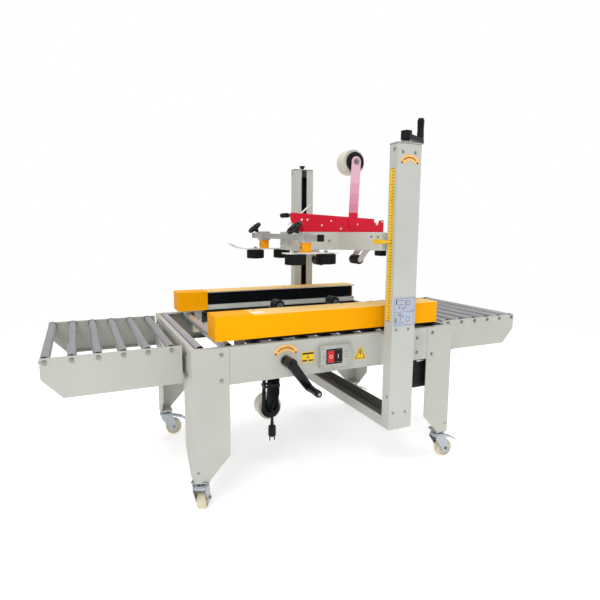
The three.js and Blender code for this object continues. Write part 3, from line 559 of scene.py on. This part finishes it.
def make_cord():
    route = [Vector((x, y, z)) * MM + Vector((0, CENTRE_Y, DATUM)) for x, y, z in cord_route()]
    curve = bpy.data.curves.new("mains_cord", "CURVE")
    curve.dimensions = "3D"
    curve.bevel_depth = CORD_RADIUS * MM
    curve.bevel_resolution = 4
    curve.use_fill_caps = True
    spline = curve.splines.new("POLY")
    spline.points.add(len(route) - 1)
    for point, place in zip(spline.points, route):
        point.co = (*place, 1)
    spline.use_smooth = True
    curve.materials.append(BLACK_RUBBER)
    cord = bpy.data.objects.new("mains_cord", curve)
    bpy.context.collection.objects.link(cord)
    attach(cord, "frame")
    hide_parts("cord_hank")
    tie = Shape()
    spread = HANK_PITCH * (HANK_LAYERS - 1) / 2 + CORD_RADIUS
    half = HANK_FOLD + CORD_RADIUS
    middle = (HANK_TOP + HANK_BOTTOM) / 2
    band = (middle - TIE_HALF, middle + TIE_HALF)
    for y in (HANK_Y - spread - TIE_OUT, HANK_Y + spread - TIE_IN):
        tie.box((HANK_X - half - TIE_OUT, HANK_X + half + TIE_OUT), (y, y + TIE_THICKNESS), band)
    for x in (HANK_X - half - TIE_OUT, HANK_X + half - TIE_IN):
        tie.box((x, x + TIE_THICKNESS), (HANK_Y - spread - TIE_OUT, HANK_Y + spread + TIE_OUT), band)
    strap = tie.make("cord_tie", BLACK_PLASTIC, "frame")


make_cord()


# ---- finishes on the CAD nodes ----
EDGE_ANGLE = 40  # edges sharper than this many degrees are rounded


def paint(name, material):
    mesh = nodes[name].data
    if not nodes[name].material_slots:
        mesh.materials.append(material)
    for slot in nodes[name].material_slots:
        slot.material = material


def edge_round(name, width_mm, segments=2):
    """Rounds the visible edges of a CAD node without changing its size."""
    piece = nodes[name]
    modifier = piece.modifiers.new("edges", "BEVEL")
    modifier.width = width_mm * MM
    modifier.segments = segments
    modifier.limit_method = "ANGLE"
    modifier.angle_limit = math.radians(EDGE_ANGLE)
    modifier.harden_normals = False


SIDES = {"near": -1, "far": 1}
ENDS = {"left": -1, "right": 1}
CORNERS = [(side, end) for side in SIDES for end in ENDS]
ROLLERS = 6  # on each table

PAINTS = {
    "main_frame": BED, "base_beam": BEAM, "infeed_table": TABLE, "outfeed_table": TABLE,
    "head_carriage": HEAD_PAINT, "upper_tape_head": UPPER_RED, "lower_tape_head": LOWER_RED,
    "upper_front_arm": ARM, "upper_rear_arm": ARM, "lower_front_arm": LOWER_ARM,
    "lower_rear_arm": LOWER_ARM, "upper_tape_roll": ROLL, "lower_tape_roll": ROLL,
    "height_crank": GLOSS_BLACK, "width_crank": GLOSS_BLACK, "plug": BLACK_PLASTIC,
    "switch_box": GREY_PLASTIC, "start_button": BLACK_PLASTIC, "stop_button": RED_PLASTIC,
}
PAINTS_BY_SIDE = {
    "column": COLUMN, "belt_carriage": BELT_FRAME, "belt_cover": COVER, "drive_belt": BELT_RUBBER,
    "press_bracket": BRACKET, "press_knob": BLACK_PLASTIC,
}


def paint_nodes():
    for name, material in PAINTS.items():
        paint(name, material)
    for side, end in CORNERS:
        paint(f"leg_{side}_{end}", BEIGE)
        paint(f"caster_fork_{side}_{end}", ZINC)
        paint(f"caster_wheel_{side}_{end}", CREAM_NYLON)
    for side in SIDES:
        for name, material in PAINTS_BY_SIDE.items():
            paint(f"{name}_{side}", material)
        for number in (1, 2):
            paint(f"press_wheel_{side}_{number}", BLACK_RUBBER)
    for table in ("infeed", "outfeed"):
        for number in range(1, ROLLERS + 1):
            paint(f"{table}_roller_{number}", ROLLER_STEEL)


paint_nodes()


def soften():
    """Small rounded edges on sheet metal and mouldings."""
    for name in ("column_near", "column_far", "base_beam", "switch_box", "belt_cover_near",
                 "belt_cover_far", "start_button", "stop_button"):
        edge_round(name, 1.2)
    for side, end in CORNERS:
        edge_round(f"leg_{side}_{end}", 1.0)
    for name in ("head_carriage", "infeed_table", "outfeed_table"):
        edge_round(name, 0.8, 1)


soften()


# ---- small details, in millimetres from the machine's datum ----
FRONT = (0, -1, 0)
BACK = (0, 1, 0)
LEFT = (-1, 0, 0)
RIGHT = (1, 0, 0)
UP = (0, 0, 1)
LEG_FACE = 346
TABLE_FACE = 278
COLUMN_FACE = 419
COLUMN_LEFT = 164
COLUMN_RIGHT = 257
COLUMN_TOP = 1143
SCREW_X = 210.5  # the lift screws' axes, one in each column
SCREW_Y = 397
SLOT_LEFT = 198.4
SLOT_RIGHT = 222.6
LABEL = 0.8  # thickness of a label
ROLLER_FIRST = 534
ROLLER_LAST = 875
AXLE_Z = 508
ROD_Z = 455  # the height of the guide rods and of the width screw
RODS_X = (-326, 290)
WIDTH_SCREW_X = -190
CRANK_REACH = 105  # from the width crank's axis to its handle
CRANK_ANGLE = -54
UPPER_ROLL = (238, 1134)
LOWER_ROLL = (-122, 176)
PRESS_Y = 203
PRESS_WHEELS_X = (-95, 25)
KNOB = (-98, 875)
KNOB_TILT = 40  # the clamp wheels lean this far from upright, towards -X
STEM_X = 467  # the casters' swivel axes
STEM_Y = 321
CASTER_HEADING = 65  # the near left caster is turned this far; the others point along X


def span(side, near, far):
    """The low and the high end of a stretch on one side of the middle."""
    return sorted((side * near, side * far))


def frame_bolts():
    """Bolt heads on legs, tables and columns."""
    leg_x = 400
    leg_foot = (478, 132)
    end_face_x = 491
    end_bolts_y = 290
    table_x = 497
    panel_x = 331
    shape = Shape()
    for side in (-1, 1):
        face = side * LEG_FACE
        axis = (0, side, 0)
        for end in (-1, 1):
            for z in (495, 414):
                shape.bolt(end * leg_x, face, z, axis)
            shape.button_screw(end * leg_foot[0], face, leg_foot[1], axis, 4)
            for z in (495, 430):
                shape.bolt(end * end_face_x, side * end_bolts_y, z, (end, 0, 0), 4.6)
            for z in (492, 430):
                shape.button_screw(end * table_x, side * (TABLE_FACE - 24), z, axis, 4)
        for z in (481, 427):
            shape.bolt(panel_x, face, z, axis, 4.6, 3.0)
        # three pairs on each column's outer face
        for x, z in ((184, 1117), (232, 1116), (181, 537), (231, 536), (180, 245), (230, 243)):
            shape.button_screw(x, side * COLUMN_FACE, z, axis, 5.2)
        for z in (1126, 300):
            shape.button_screw(COLUMN_LEFT, side * 402, z, LEFT, 6)
            shape.button_screw(COLUMN_RIGHT, side * 402, z, RIGHT, 6)
    shape.make("frame_bolts", BOLT_STEEL, "frame", 30)


def axle_bolts():
    """A hexagon head on each table roller's axle end, and a black cap in each end of the roller."""
    cap_y = 269.4
    cap_radius = 14.1
    pitch = (ROLLER_LAST - ROLLER_FIRST) / (ROLLERS - 1)
    for table, end in (("infeed", -1), ("outfeed", 1)):
        for number in range(ROLLERS):
            shape = Shape()
            x = end * (ROLLER_FIRST + number * pitch)
            for side in (-1, 1):
                shape.bolt(x, side * TABLE_FACE, AXLE_Z - 0.2, (0, side, 0), 5.2, 3.6)
            body = f"{table}_roller_{number + 1}"
            shape.make(f"axle_bolts_{table}_{number + 1}", BOLT_STEEL, body, 30)
            caps = Shape()
            for side in (-1, 1):
                caps.disc((x, side * cap_y, AXLE_Z), BACK, cap_radius, 5.6, 32)
            caps.make(f"roller_caps_{table}_{number + 1}", BLACK_PLASTIC, body, 30)


def seams():
    """Thin grey joint lines on the side panels, near the legs."""
    shape = Shape()
    for side in (-1, 1):
        y = span(side, LEG_FACE - 2, LEG_FACE + 0.15)
        for x in (-375.6, 375.6):
            shape.box((x - 0.5, x + 0.5), y, (400, 515))
    shape.make("panel_seams", DARK_GREY, "frame")


def frame_edges():
    """Rolled rims along the top of the side panels and the roller tables."""
    shape = Shape()
    for side in (-1, 1):
        for end in (-1, 1):
            shape.box(span(end, 505, 886.5), span(side, TABLE_FACE - 4, TABLE_FACE - 0.4),
                      (517.5, 519.6), 0.6)
        shape.box((-490, 490), span(side, LEG_FACE - 0.5, LEG_FACE - 5), (514.5, 516.8), 0.7)
    shape.make("top_rims", BEIGE, "frame", 40)


def column_trims():
    """Caps and foot plates of the columns, the far screw's nut, the near screw's collar, and dark slot
    edges as painted shade.
    """
    caps = Shape()
    for side in (-1, 1):
        y = span(side, 373, 421)
        caps.box((162, 259), y, (1143.6, 1147), 1.0)
        caps.box((166, 255), span(side, 377, 417), (183.5, 186.5), 0.5)
    caps.make("column_caps", BEIGE, "frame", 40)
    joints = Shape()
    for side in (-1, 1):
        joints.box((163.6, 257.4), span(side, 374.5, 419.5), (1142.4, 1143.4))
    joints.make("cap_joints", DARK_GREY, "frame")
    nut = Shape()
    nut.disc((SCREW_X, SCREW_Y, 1153), UP, 9, 14, 20)
    nut.disc((SCREW_X, SCREW_Y, 1161), UP, 14, 5, 6)
    nut.make("far_screw_nut", BLACK_PLASTIC, "frame", 30)
    collar = Shape().ring((SCREW_X, -SCREW_Y, 1150), UP, 20, 10.8, 6)
    collar.make("near_screw_collar", BOLT_STEEL, "frame", 30)
    # Dark strips at the slots' edges and above them: painted shade.
    edges = Shape()
    slot_top = 1110
    for side in (-1, 1):
        for x in (SLOT_LEFT, SLOT_RIGHT):
            edges.box((x - 1.2, x + 1.2), span(side, 374.2, 377), (240, slot_top))
        edges.box((SLOT_LEFT, SLOT_RIGHT), span(side, 374.2, 375), (slot_top, COLUMN_TOP))
    edges.make("slot_edge_shade", DARK_PRINT, "frame")


def ruler():
    """The 500 mm height scale on the near column's left face, with its graduations."""
    low = 566
    long = 500
    y = (-406, -382)
    back = Shape().box((COLUMN_LEFT - LABEL, COLUMN_LEFT), y, (low, low + long))
    back.make("height_scale", YELLOW_LABEL, "frame")
    marks = Shape()
    for i in range(0, long + 1, 5):
        reach = 20 if i % 50 == 0 else (13 if i % 10 == 0 else 5)
        half = 0.7 if i % 10 == 0 else 0.35
        z = low + i
        marks.box((COLUMN_LEFT - LABEL - 0.25, COLUMN_LEFT - LABEL), (y[0], y[0] + reach),
                  (z - half, z + half))
    marks.make("height_scale_marks", DARK_PRINT, "frame")


def arc_points(radius, inner, start, stop, steps=20):
    """The outline of a curved strip between two radii and two angles in degrees."""
    outside = []
    inside = []
    for i in range(steps + 1):
        angle = math.radians(start + (stop - start) * i / steps)
        outside.append((radius * math.cos(angle), radius * math.sin(angle)))
        inside.append((inner * math.cos(angle), inner * math.sin(angle)))
    return outside + list(reversed(inside))


def arc_label(name, centre, y, radius, inner, body):
    """A curved strip with an arrow at each end, round a crank's hub."""
    shape = Shape()
    shape.plate(arc_points(radius, inner, 35, 145), (centre[0], y, centre[1]), RIGHT, UP, LABEL)
    shape.make(name, ORANGE_LABEL, body)
    arrows = Shape()
    middle = (radius + inner) / 2
    for angle, turn in ((38, -90), (142, 90)):
        place = math.radians(angle)
        tip = math.radians(angle + turn)
        across = Vector((math.cos(place), 0, math.sin(place)))
        ahead = Vector((math.cos(tip), 0, math.sin(tip)))
        origin = Vector((centre[0], y - LABEL, centre[1])) + across * middle
        arrows.plate([(-4, 0), (4, 0), (0, 8)], origin, across, ahead, 0.2)
    arrows.plate(arc_points(middle + 1.5, middle - 1.5, 48, 132), (centre[0], y - LABEL, centre[1]),
                 RIGHT, UP, 0.25)
    arrows.make(name + "_arrows", ARROW_BROWN, body)


def diagram_label():
    """The threading diagram: two tape rolls, their rollers and the tape between, with no words."""
    y = -COLUMN_FACE
    back = Shape().box((167, 256), (y - LABEL, y), (549, 647))
    back.make("diagram_label", BLUE_LABEL, "frame")
    lines = Shape()
    front = y - LABEL - 0.2
    for x0, x1, z0, z1 in ((171, 252, 643, 644), (171, 252, 552, 553), (171, 172, 552, 644),
                           (251, 252, 552, 644), (171, 252, 597, 598)):
        lines.box((x0, x1), (front, y - LABEL), (z0, z1))
    for x, z, radius in ((226, 628, 9), (226, 572, 9), (190, 613, 4), (206, 608, 4), (190, 588, 4),
                         (206, 583, 4)):
        lines.ring((x, y - LABEL, z), FRONT, radius, radius - 1.7, 0.5, 24)
    lines.make("diagram_lines", GREY_PRINT, "frame")
    blocks = Shape()
    for x0, x1, z0, z1 in ((176, 181, 623, 640), (176, 180, 560, 577), (238, 248, 601, 603),
                           (184, 214, 636, 637.4), (184, 208, 560, 561.4), (196, 197.4, 566, 594),
                           (214, 215.4, 604, 634), (181, 205, 622, 623.4)):
        blocks.box((x0, x1), (front, y - LABEL), (z0, z1))
    blocks.make("diagram_blocks", GREY_PRINT, "frame")


def panel_labels():
    """Plain labels on the near panel and cover: a caution mark, a plate and a pale strip."""
    y = -LEG_FACE
    plate = Shape()
    plate.box((-134, -89), (y - LABEL, y), (440, 476), 0)
    plate.plate([(62, 429), (113, 429), (87.5, 476)], (0, y, 0), RIGHT, UP, LABEL)
    plate.make("panel_labels", YELLOW_LABEL, "frame")
    marks = Shape()
    marks.plate([(67, 432), (108, 432), (87.5, 470)], (0, y - LABEL, 0), RIGHT, UP, 0.3)
    for x, z in (((-132, -91), (467, 473)), ((-132, -115), (444, 449)), ((-110, -92), (444, 449))):
        marks.box(x, (y - LABEL - 0.25, y - LABEL), z)
    marks.ring((-111.5, y - LABEL, 458), FRONT, 4.5, 2.5, 0.5, 20)
    marks.make("panel_label_marks", DARK_PRINT, "frame")
    inner = Shape().plate([(71, 434.2), (104, 434.2), (87.5, 465)], (0, y - LABEL - 0.3, 0), RIGHT, UP, 0.2)
    inner.make("caution_mark_field", YELLOW_LABEL, "frame")
    bolt = Shape()
    zigzag = [(86.5, 460), (83.5, 448.5), (87.3, 449), (85, 437), (92, 451.5), (88.3, 451), (90, 460)]
    bolt.plate(list(reversed(zigzag)), (0, y - LABEL - 0.5, 0), RIGHT, UP, 0.2)
    bolt.make("caution_mark_bolt", ARROW_BROWN, "frame")
    strip = Shape().box((-292, -248), (-320, -292), (609.8, 610.5))
    strip.make("cover_label", WHITE_LABEL, "belt_unit_near")


def switch_details():
    """The bezel, screws and printed lines of the switch box, and a ring and a bar on its buttons."""
    front = -LEG_FACE - 16.3
    bezel = Shape()
    for x0, x1, z0, z1 in ((-52, 7, 476, 480), (-52, 7, 430, 434), (-52, -49, 434, 476),
                           (5, 8, 434, 476)):
        bezel.box((x0, x1), (front - 1.2, front), (z0, z1))
    bezel.box((-23.4, -20.6), (front - 0.8, front), (434, 476))
    bezel.make("switch_bezel", BLACK_PLASTIC, "frame")
    screws = Shape()
    for x, z in ((-64, 484), (-64, 425), (36, 484), (36, 425), (-61, 455)):
        screws.disc((x, front - 0.6, z), FRONT, 3, 1.2, 16)
    screws.make("switch_screws", BOLT_STEEL, "frame", 30)
    marks = Shape()
    for z in (468, 458, 448):
        marks.box((17, 30), (front - 0.25, front), (z - 0.6, z + 0.6))
    marks.make("switch_marks", DARK_PRINT, "frame")
    for name, x in (("stop_button", -35.5), ("start_button", -8.5)):
        symbol = Shape()
        if name == "stop_button":
            symbol.ring((x, front - 2, 455), FRONT, 6, 4.6, 0.6, 28)
        else:
            symbol.box((x - 0.8, x + 0.8), (front - 2.3, front - 2), (448, 462))
        symbol.make(name + "_symbol", WHITE_LABEL, name)


def cover_details():
    """Each belt cover's screws and its pale inner lip, a painted highlight; the wear strip and brush skirt
    below, the belt's ribs.
    """
    ribs_count = 59
    ribs_start = -288
    ribs_pitch = 11.9
    for name, side in SIDES.items():
        body = f"belt_unit_{name}"
        screws = Shape()
        for x in (-270, 60, 390):
            screws.button_screw(x, side * 262, 610, UP, 3.2)
        screws.make(f"cover_screws_{name}", BOLT_STEEL, body, 30)
        for piece, material, x, y, z in (
                ("cover_lip_highlight", PAINTED_HIGHLIGHT_METAL, (-292, 416), (242.6, 245.4), (605.6, 608.4)),
                ("wear_strip", STRIP_GREY, (-290, 414), (243.2, 244.8), (537, 554)),
                ("brush_skirt", BRUSH_BLACK, (-300, 424), (247, 325), (523.6, 533))):
            Shape().box(x, span(side, *y), z).make(f"{piece}_{name}", material, body)
        ribs = Shape()
        for i in range(ribs_count):
            x = ribs_start + ribs_pitch * i
            ribs.box((x, x + 1.2), span(side, 246.3, 246.8), (558, 604))
        ribs.make(f"belt_ribs_{name}", BELT_RUBBER, body)


def motor_details():
    """Cooling fins on the drive motor under each belt unit, and a pale band on its top that is a painted
    highlight.
    """
    for name, side in SIDES.items():
        body = f"belt_unit_{name}"
        fins = Shape()
        for i in range(9):
            z = 300 + 10 * i
            fins.box((330, 426), span(side, 232, 328), (z, z + 3.5), 0.8)
        fins.make(f"motor_fins_{name}", BLACK_PLASTIC, body, 30)
        # A pale band along the motor's top: a painted highlight.
        plate = Shape().box((345, 412), span(side, 328, 329), (386, 391))
        plate.make(f"motor_highlight_{name}", PAINTED_HIGHLIGHT_METAL, body)


def guide_bushes():
    """Brass bushes round the two guide rods, on each belt unit."""
    for name, side in SIDES.items():
        shape = Shape()
        for x in RODS_X:
            for y in (274.6, 305.4):
                shape.ring((x, side * y, ROD_Z), BACK, 17, 10.9, 2.4)
        shape.make(f"guide_bushes_{name}", BRASS, f"belt_unit_{name}", 30)


def head_details():
    """Pointer, bump stops, the press bar's end caps and the bolts of the head carriage."""
    pointer = Shape()
    outline = [(-300, 838), (-300, 822), (-340, 822), (-404, 828), (-407, 831), (-404, 834), (-340, 838)]
    pointer.plate(list(reversed(outline)), (157.2, 0, 0), (0, 1, 0), UP, 1.6)
    pointer.make("height_pointer", YELLOW_LABEL, "head")
    stop = Shape()
    for side in (-1, 1):
        stop.box((163, 187), span(side, 302, 342), (781, 801), 2)
    stop.make("bump_stops", BLACK_RUBBER, "head", 40)
    ends = Shape()
    for side in (-1, 1):
        ends.box((-67.5, -44.5), span(side, 314, 323), (830.5, 853.5), 1.5)
    ends.make("press_bar_caps", BLACK_PLASTIC, "head", 40)
    bolts = Shape()
    for y in (-44, 44):
        for z in (836, 812):
            bolts.button_screw(-45, y, z, LEFT, 4)
    for x in (30, 120, 300, 360):
        for side in (-1, 1):
            bolts.button_screw(x, side * 50, 826, (0, side, 0), 5)
    for y in (-330, -290, 290, 330):
        bolts.button_screw(158, y, 846, LEFT, 4.5)
    bolts.make("head_bolts", BOLT_STEEL, "head", 30)


def tape_head_details():
    """Screws, spacer nuts, spindle nut, nose roller and arm spring of the two tape heads."""
    screws = Shape()
    for x, z, radius in ((4, 906, 4), (28, 906, 4), (130, 903, 3.4), (90, 886, 3.4), (175, 873, 3.6),
                         (213, 891, 3.6), (250, 891, 3.6), (343, 894, 6), (368, 902, 3)):
        screws.disc((x, -44.4, z), FRONT, radius, 1.2, 20)
    screws.make("upper_head_screws", WHITE_PLASTIC, "head", 30)
    nuts = Shape()
    for x, z in ((60, 905), (190, 880), (300, 885)):
        nuts.disc((x, 46.2, z), BACK, 5, 3.6, 6)
    nuts.make("upper_head_nuts", BOLT_STEEL, "head", 30)
    spindle = Shape()
    x, z = UPPER_ROLL
    spindle.disc((x, -48.5, z), FRONT, 12, 2.4, 24)
    spindle.disc((x, -51.5, z), FRONT, 6.5, 5, 6)
    spindle.disc((x, -55, z), FRONT, 4, 4, 16)
    spindle.make("upper_spindle_nut", BOLT_STEEL, "head", 30)
    nose = Shape().disc((-48, 0, 922), BACK, 9, 52, 24)
    nose.make("nose_roller", BLACK_RUBBER, "head", 30)
    spring = Shape()
    for i in range(22):
        spring.ring((60 + i * 6.2, 49.2, 860 + i * 1.1), (1, 0, 0.18), 4.2, 2.8, 2.2, 14)
    spring.make("arm_spring", BOLT_STEEL, "head", 30)
    low_nuts = Shape()
    for x, z in ((-60, 412), (60, 430), (180, 412), (-138, 493), (225, 493)):
        low_nuts.disc((x, -46, z), FRONT, 5, 3.4, 6)
        low_nuts.disc((x, 46, z), BACK, 5, 3.4, 6)
    low_nuts.make("lower_head_nuts", BOLT_STEEL, "frame", 30)


def roll_hubs():
    """Hub faces with round studs, cores and winding lines of the two tape rolls."""
    studs = 6
    stud_circle = 25
    for name, (x, z) in (("upper", UPPER_ROLL), ("lower", LOWER_ROLL)):
        body = f"{name}_tape_roll"
        hub = Shape()
        hub.ring((x, -38.4, z), BACK, 38, 12, 1.0, 40)
        for i in range(studs):
            angle = 2 * math.pi * i / studs
            stud_x = x + stud_circle * math.cos(angle)
            stud_z = z + stud_circle * math.sin(angle)
            hub.disc((stud_x, -39.2, stud_z), FRONT, 6, 1.2, 18)
        hub.disc((x, -39.6, z), FRONT, 13, 3, 24)
        hub.make(f"{name}_roll_hub", BLACK_PLASTIC, body, 30)
        core = Shape().ring((x, 27.3, z), BACK, 40, 36, 1.0, 40)
        core.make(f"{name}_roll_core", WHITE_PLASTIC, body, 30)
        film = Shape()
        for radius in (47.4, 45.2, 42.4):
            for y in (27.4, -27.4):
                film.ring((x, y, z), BACK, radius, radius - 0.5, 0.5, 48)
        film.make(f"{name}_roll_winding", WHITE_PLASTIC, body, 30)


def crank_details():
    """The width crank's hub cap, handle screw and collar, and the height crank's top screw."""
    hub = Shape().disc((WIDTH_SCREW_X, -400.5, ROD_Z), FRONT, 6.5, 3, 20)
    hub.make("width_crank_hub_cap", BLACK_PLASTIC, "width_crank", 30)
    screw = Shape()
    angle = math.radians(CRANK_ANGLE)
    tip_x = WIDTH_SCREW_X + CRANK_REACH * math.cos(angle)
    tip_z = ROD_Z + CRANK_REACH * math.sin(angle)
    screw.disc((tip_x, -463.4, tip_z), FRONT, 5, 0.8, 20)
    screw.make("width_crank_screws", BOLT_STEEL, "width_crank", 30)
    collar = Shape().ring((WIDTH_SCREW_X, -349.5, ROD_Z), BACK, 19, 10.6, 7)
    collar.make("width_screw_collar", BOLT_STEEL, "frame", 30)
    top = Shape().disc((SCREW_X, -SCREW_Y, 1187), UP, 7, 4, 6)
    top.make("height_crank_screw", BOLT_STEEL, "height_crank", 30)


def hand_wheel(name, y):
    """The clamp's small handwheel: a round rim on three spokes, a hub and the stem below it."""
    spokes = 3
    tilt = math.radians(KNOB_TILT)
    lean = Vector((-math.sin(tilt), 0, math.cos(tilt)))
    aside = Vector((math.cos(tilt), 0, math.sin(tilt)))
    across = Vector((0, 1, 0))
    centre = Vector((KNOB[0], y, KNOB[1]))
    wheel = Shape()
    for lift, outer, inner in ((-3.2, 29.8, 24.0), (0, 30.6, 23.2), (3.2, 29.8, 24.0)):
        wheel.ring(centre + lean * lift, lean, outer, inner, 3.5, 36)
    for i in range(spokes):
        angle = 2 * math.pi * i / spokes + 0.5
        out = aside * math.cos(angle) + across * math.sin(angle)
        wheel.disc(centre + out * 15.4, out, 3.6, 18, 12)
    wheel.disc(centre, lean, 9, 13, 24)
    wheel.disc(centre - lean * 12.4, lean, 8.4, 12, 20)
    wheel.disc(centre - lean * 20.6, lean, 4, 6.6, 12)
    piece = wheel.make(f"hand_wheel_{name}", GLOSS_BLACK, f"press_knob_{name}", 35)
    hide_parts(f"press_knob_{name}")


def press_details():
    """Bolts and handwheel of each press bracket, and the rims of its two wheels."""
    for name, side in SIDES.items():
        y = side * PRESS_Y
        bolts = Shape()
        for x in PRESS_WHEELS_X:
            bolts.disc((x, y, 792), UP, 8, 4, 6)
            bolts.disc((x, y, 795), UP, 4, 4, 16)
        bolts.disc((-73.5, y, 808), LEFT, 5, 3, 6)
        bolts.make(f"press_bolts_{name}", BOLT_STEEL, f"press_bracket_{name}", 30)
        hand_wheel(name, y)
        for number, x in enumerate(PRESS_WHEELS_X, 1):
            rim = Shape()
            rim.ring((x, y, 748.2), UP, 20, 7, 1.6, 32)
            rim.ring((x, y, 784.6), UP, 20, 7, 1.2, 32)
            rim.make(f"wheel_hub_{name}_{number}", GREY_PLASTIC, f"press_wheel_{name}_{number}", 30)


def chain_run():
    """The chain in the foot beam and a sprocket at each lift screw's foot."""
    links = Shape()
    count = 56
    reach = 372
    for i in range(count + 1):
        y = -reach + i * (2 * reach) / count
        for x in (190, 231):
            links.box((x - 2.4, x + 2.4), (y - 4.8, y + 4.8), (203, 207.5))
    links.make("lift_chain", BOLT_STEEL, "frame")
    sprocket = Shape()
    for side in (-1, 1):
        sprocket.disc((SCREW_X, side * SCREW_Y, 205), UP, 21, 5, 20)
    sprocket.make("lift_sprockets", BOLT_STEEL, "frame", 30)


def far_screw():
    """The far lift screw, black as painted shade inside the far column, and a white strap on the head in
    front of the far column's slot.
    """
    shape = Shape().disc((SCREW_X, SCREW_Y, 670), UP, 9.5, 940, 16)
    shape.make("far_lift_screw", BLACK_PLASTIC, "frame", 30)
    strap = Shape()
    along = Vector((0.77, 0, 0.64))
    aside = Vector((0.64, 0, -0.77))
    strap.plate([(-4, -75), (4, -75), (4, 75), (-4, 75)], (186, 372.8, 938), aside, along, 1.0)
    strap.make("head_strap", WHITE_PLASTIC, "head")


def caster_details():
    """Stem bolts, axle nuts and a bearing race on each caster."""
    for side, end in CORNERS:
        corner = f"{side}_{end}"
        low, high = corner_box(f"caster_wheel_{corner}")
        centre = (low + high) / 2
        middle = Vector((centre.x / MM, (centre.y - CENTRE_Y) / MM, (centre.z - DATUM) / MM))
        heading = math.radians(CASTER_HEADING if corner == "near_left" else 0)
        axis = Vector((-math.sin(heading), math.cos(heading), 0))
        nuts = Shape()
        for turn in (-1, 1):
            nuts.disc(middle + axis * (24.4 * turn), axis, 6.4, 3.4, 6)
        nuts.make(f"axle_nuts_{corner}", BOLT_STEEL, f"fork_{corner}", 30)
        race = Shape()
        stem = Vector((ENDS[end] * STEM_X, SIDES[side] * STEM_Y, 0))
        race.ring(stem + Vector((0, 0, 80)), UP, 26, 23, 5, 28)
        race.make(f"swivel_race_{corner}", ZINC, f"fork_{corner}", 30)
        plate = Shape()
        for x in (-17, 17):
            for y in (-17, 17):
                plate.disc(stem + Vector((x, y, 94.4)), UP, 4.5, 4, 6)
        plate.make(f"mount_bolts_{corner}", BOLT_STEEL, "frame", 30)


frame_bolts()
axle_bolts()
seams()
frame_edges()
column_trims()
ruler()
arc_label("height_arc", (211, 1063.5), -COLUMN_FACE, 46, 27, "frame")
arc_label("width_arc", (-190, 455), -LEG_FACE, 52, 32, "frame")
diagram_label()
panel_labels()
switch_details()
cover_details()
motor_details()
guide_bushes()
head_details()
tape_head_details()
roll_hubs()
crank_details()
press_details()
chain_run()
far_screw()
caster_details()


# ---- stage ----
FLOOR_GLOW = 0.36
FLOOR_RADIUS = 3.4
ROOM_LIGHT = 0.5
LIGHTS_AIM = Vector((0, 0, 0.55))


def make_stage():
    bpy.ops.mesh.primitive_circle_add(vertices=128, radius=FLOOR_RADIUS, fill_type="NGON")
    floor = bpy.context.object
    floor.name = "floor"
    material, shader = new_material("floor_paper", (0.94, 0.94, 0.94), 0.9, shine=0.0)
    shader.inputs["Emission Color"].default_value = (1, 1, 1, 1)
    shader.inputs["Emission Strength"].default_value = FLOOR_GLOW
    floor.data.materials.append(material)
    world = bpy.data.worlds.new("studio")
    bpy.context.scene.world = world
    world.use_nodes = True
    tree = world.node_tree
    soft = tree.nodes["Background"]
    soft.inputs["Color"].default_value = (1.0, 1.0, 1.0, 1)
    soft.inputs["Strength"].default_value = ROOM_LIGHT
    backdrop = tree.nodes.new("ShaderNodeBackground")
    backdrop.inputs["Strength"].default_value = 1.0
    backdrop.inputs["Color"].default_value = (1.0, 1.0, 1.0, 1)
    choose = tree.nodes.new("ShaderNodeMixShader")
    path = tree.nodes.new("ShaderNodeLightPath")
    tree.links.new(path.outputs["Is Camera Ray"], choose.inputs["Fac"])
    tree.links.new(soft.outputs[0], choose.inputs[1])
    tree.links.new(backdrop.outputs[0], choose.inputs[2])
    tree.links.new(choose.outputs[0], tree.nodes["World Output"].inputs["Surface"])
    add_light("key", (-2.6, -3.2, 4.0), 3.0, 120)
    add_light("fill", (3.6, -2.4, 2.4), 3.0, 30)
    add_light("top", (0.4, 0.6, 4.6), 3.5, 85)
    bpy.context.scene.view_settings.view_transform = "Standard"
    bpy.context.scene.view_settings.look = "None"


def add_light(name, place, size, power):
    data = bpy.data.lights.new(name, "AREA")
    data.energy = power
    data.size = size
    light = bpy.data.objects.new(name, data)
    bpy.context.collection.objects.link(light)
    light.location = place
    aim = LIGHTS_AIM - Vector(place)
    light.rotation_euler = aim.to_track_quat("-Z", "Y").to_euler()


make_stage()
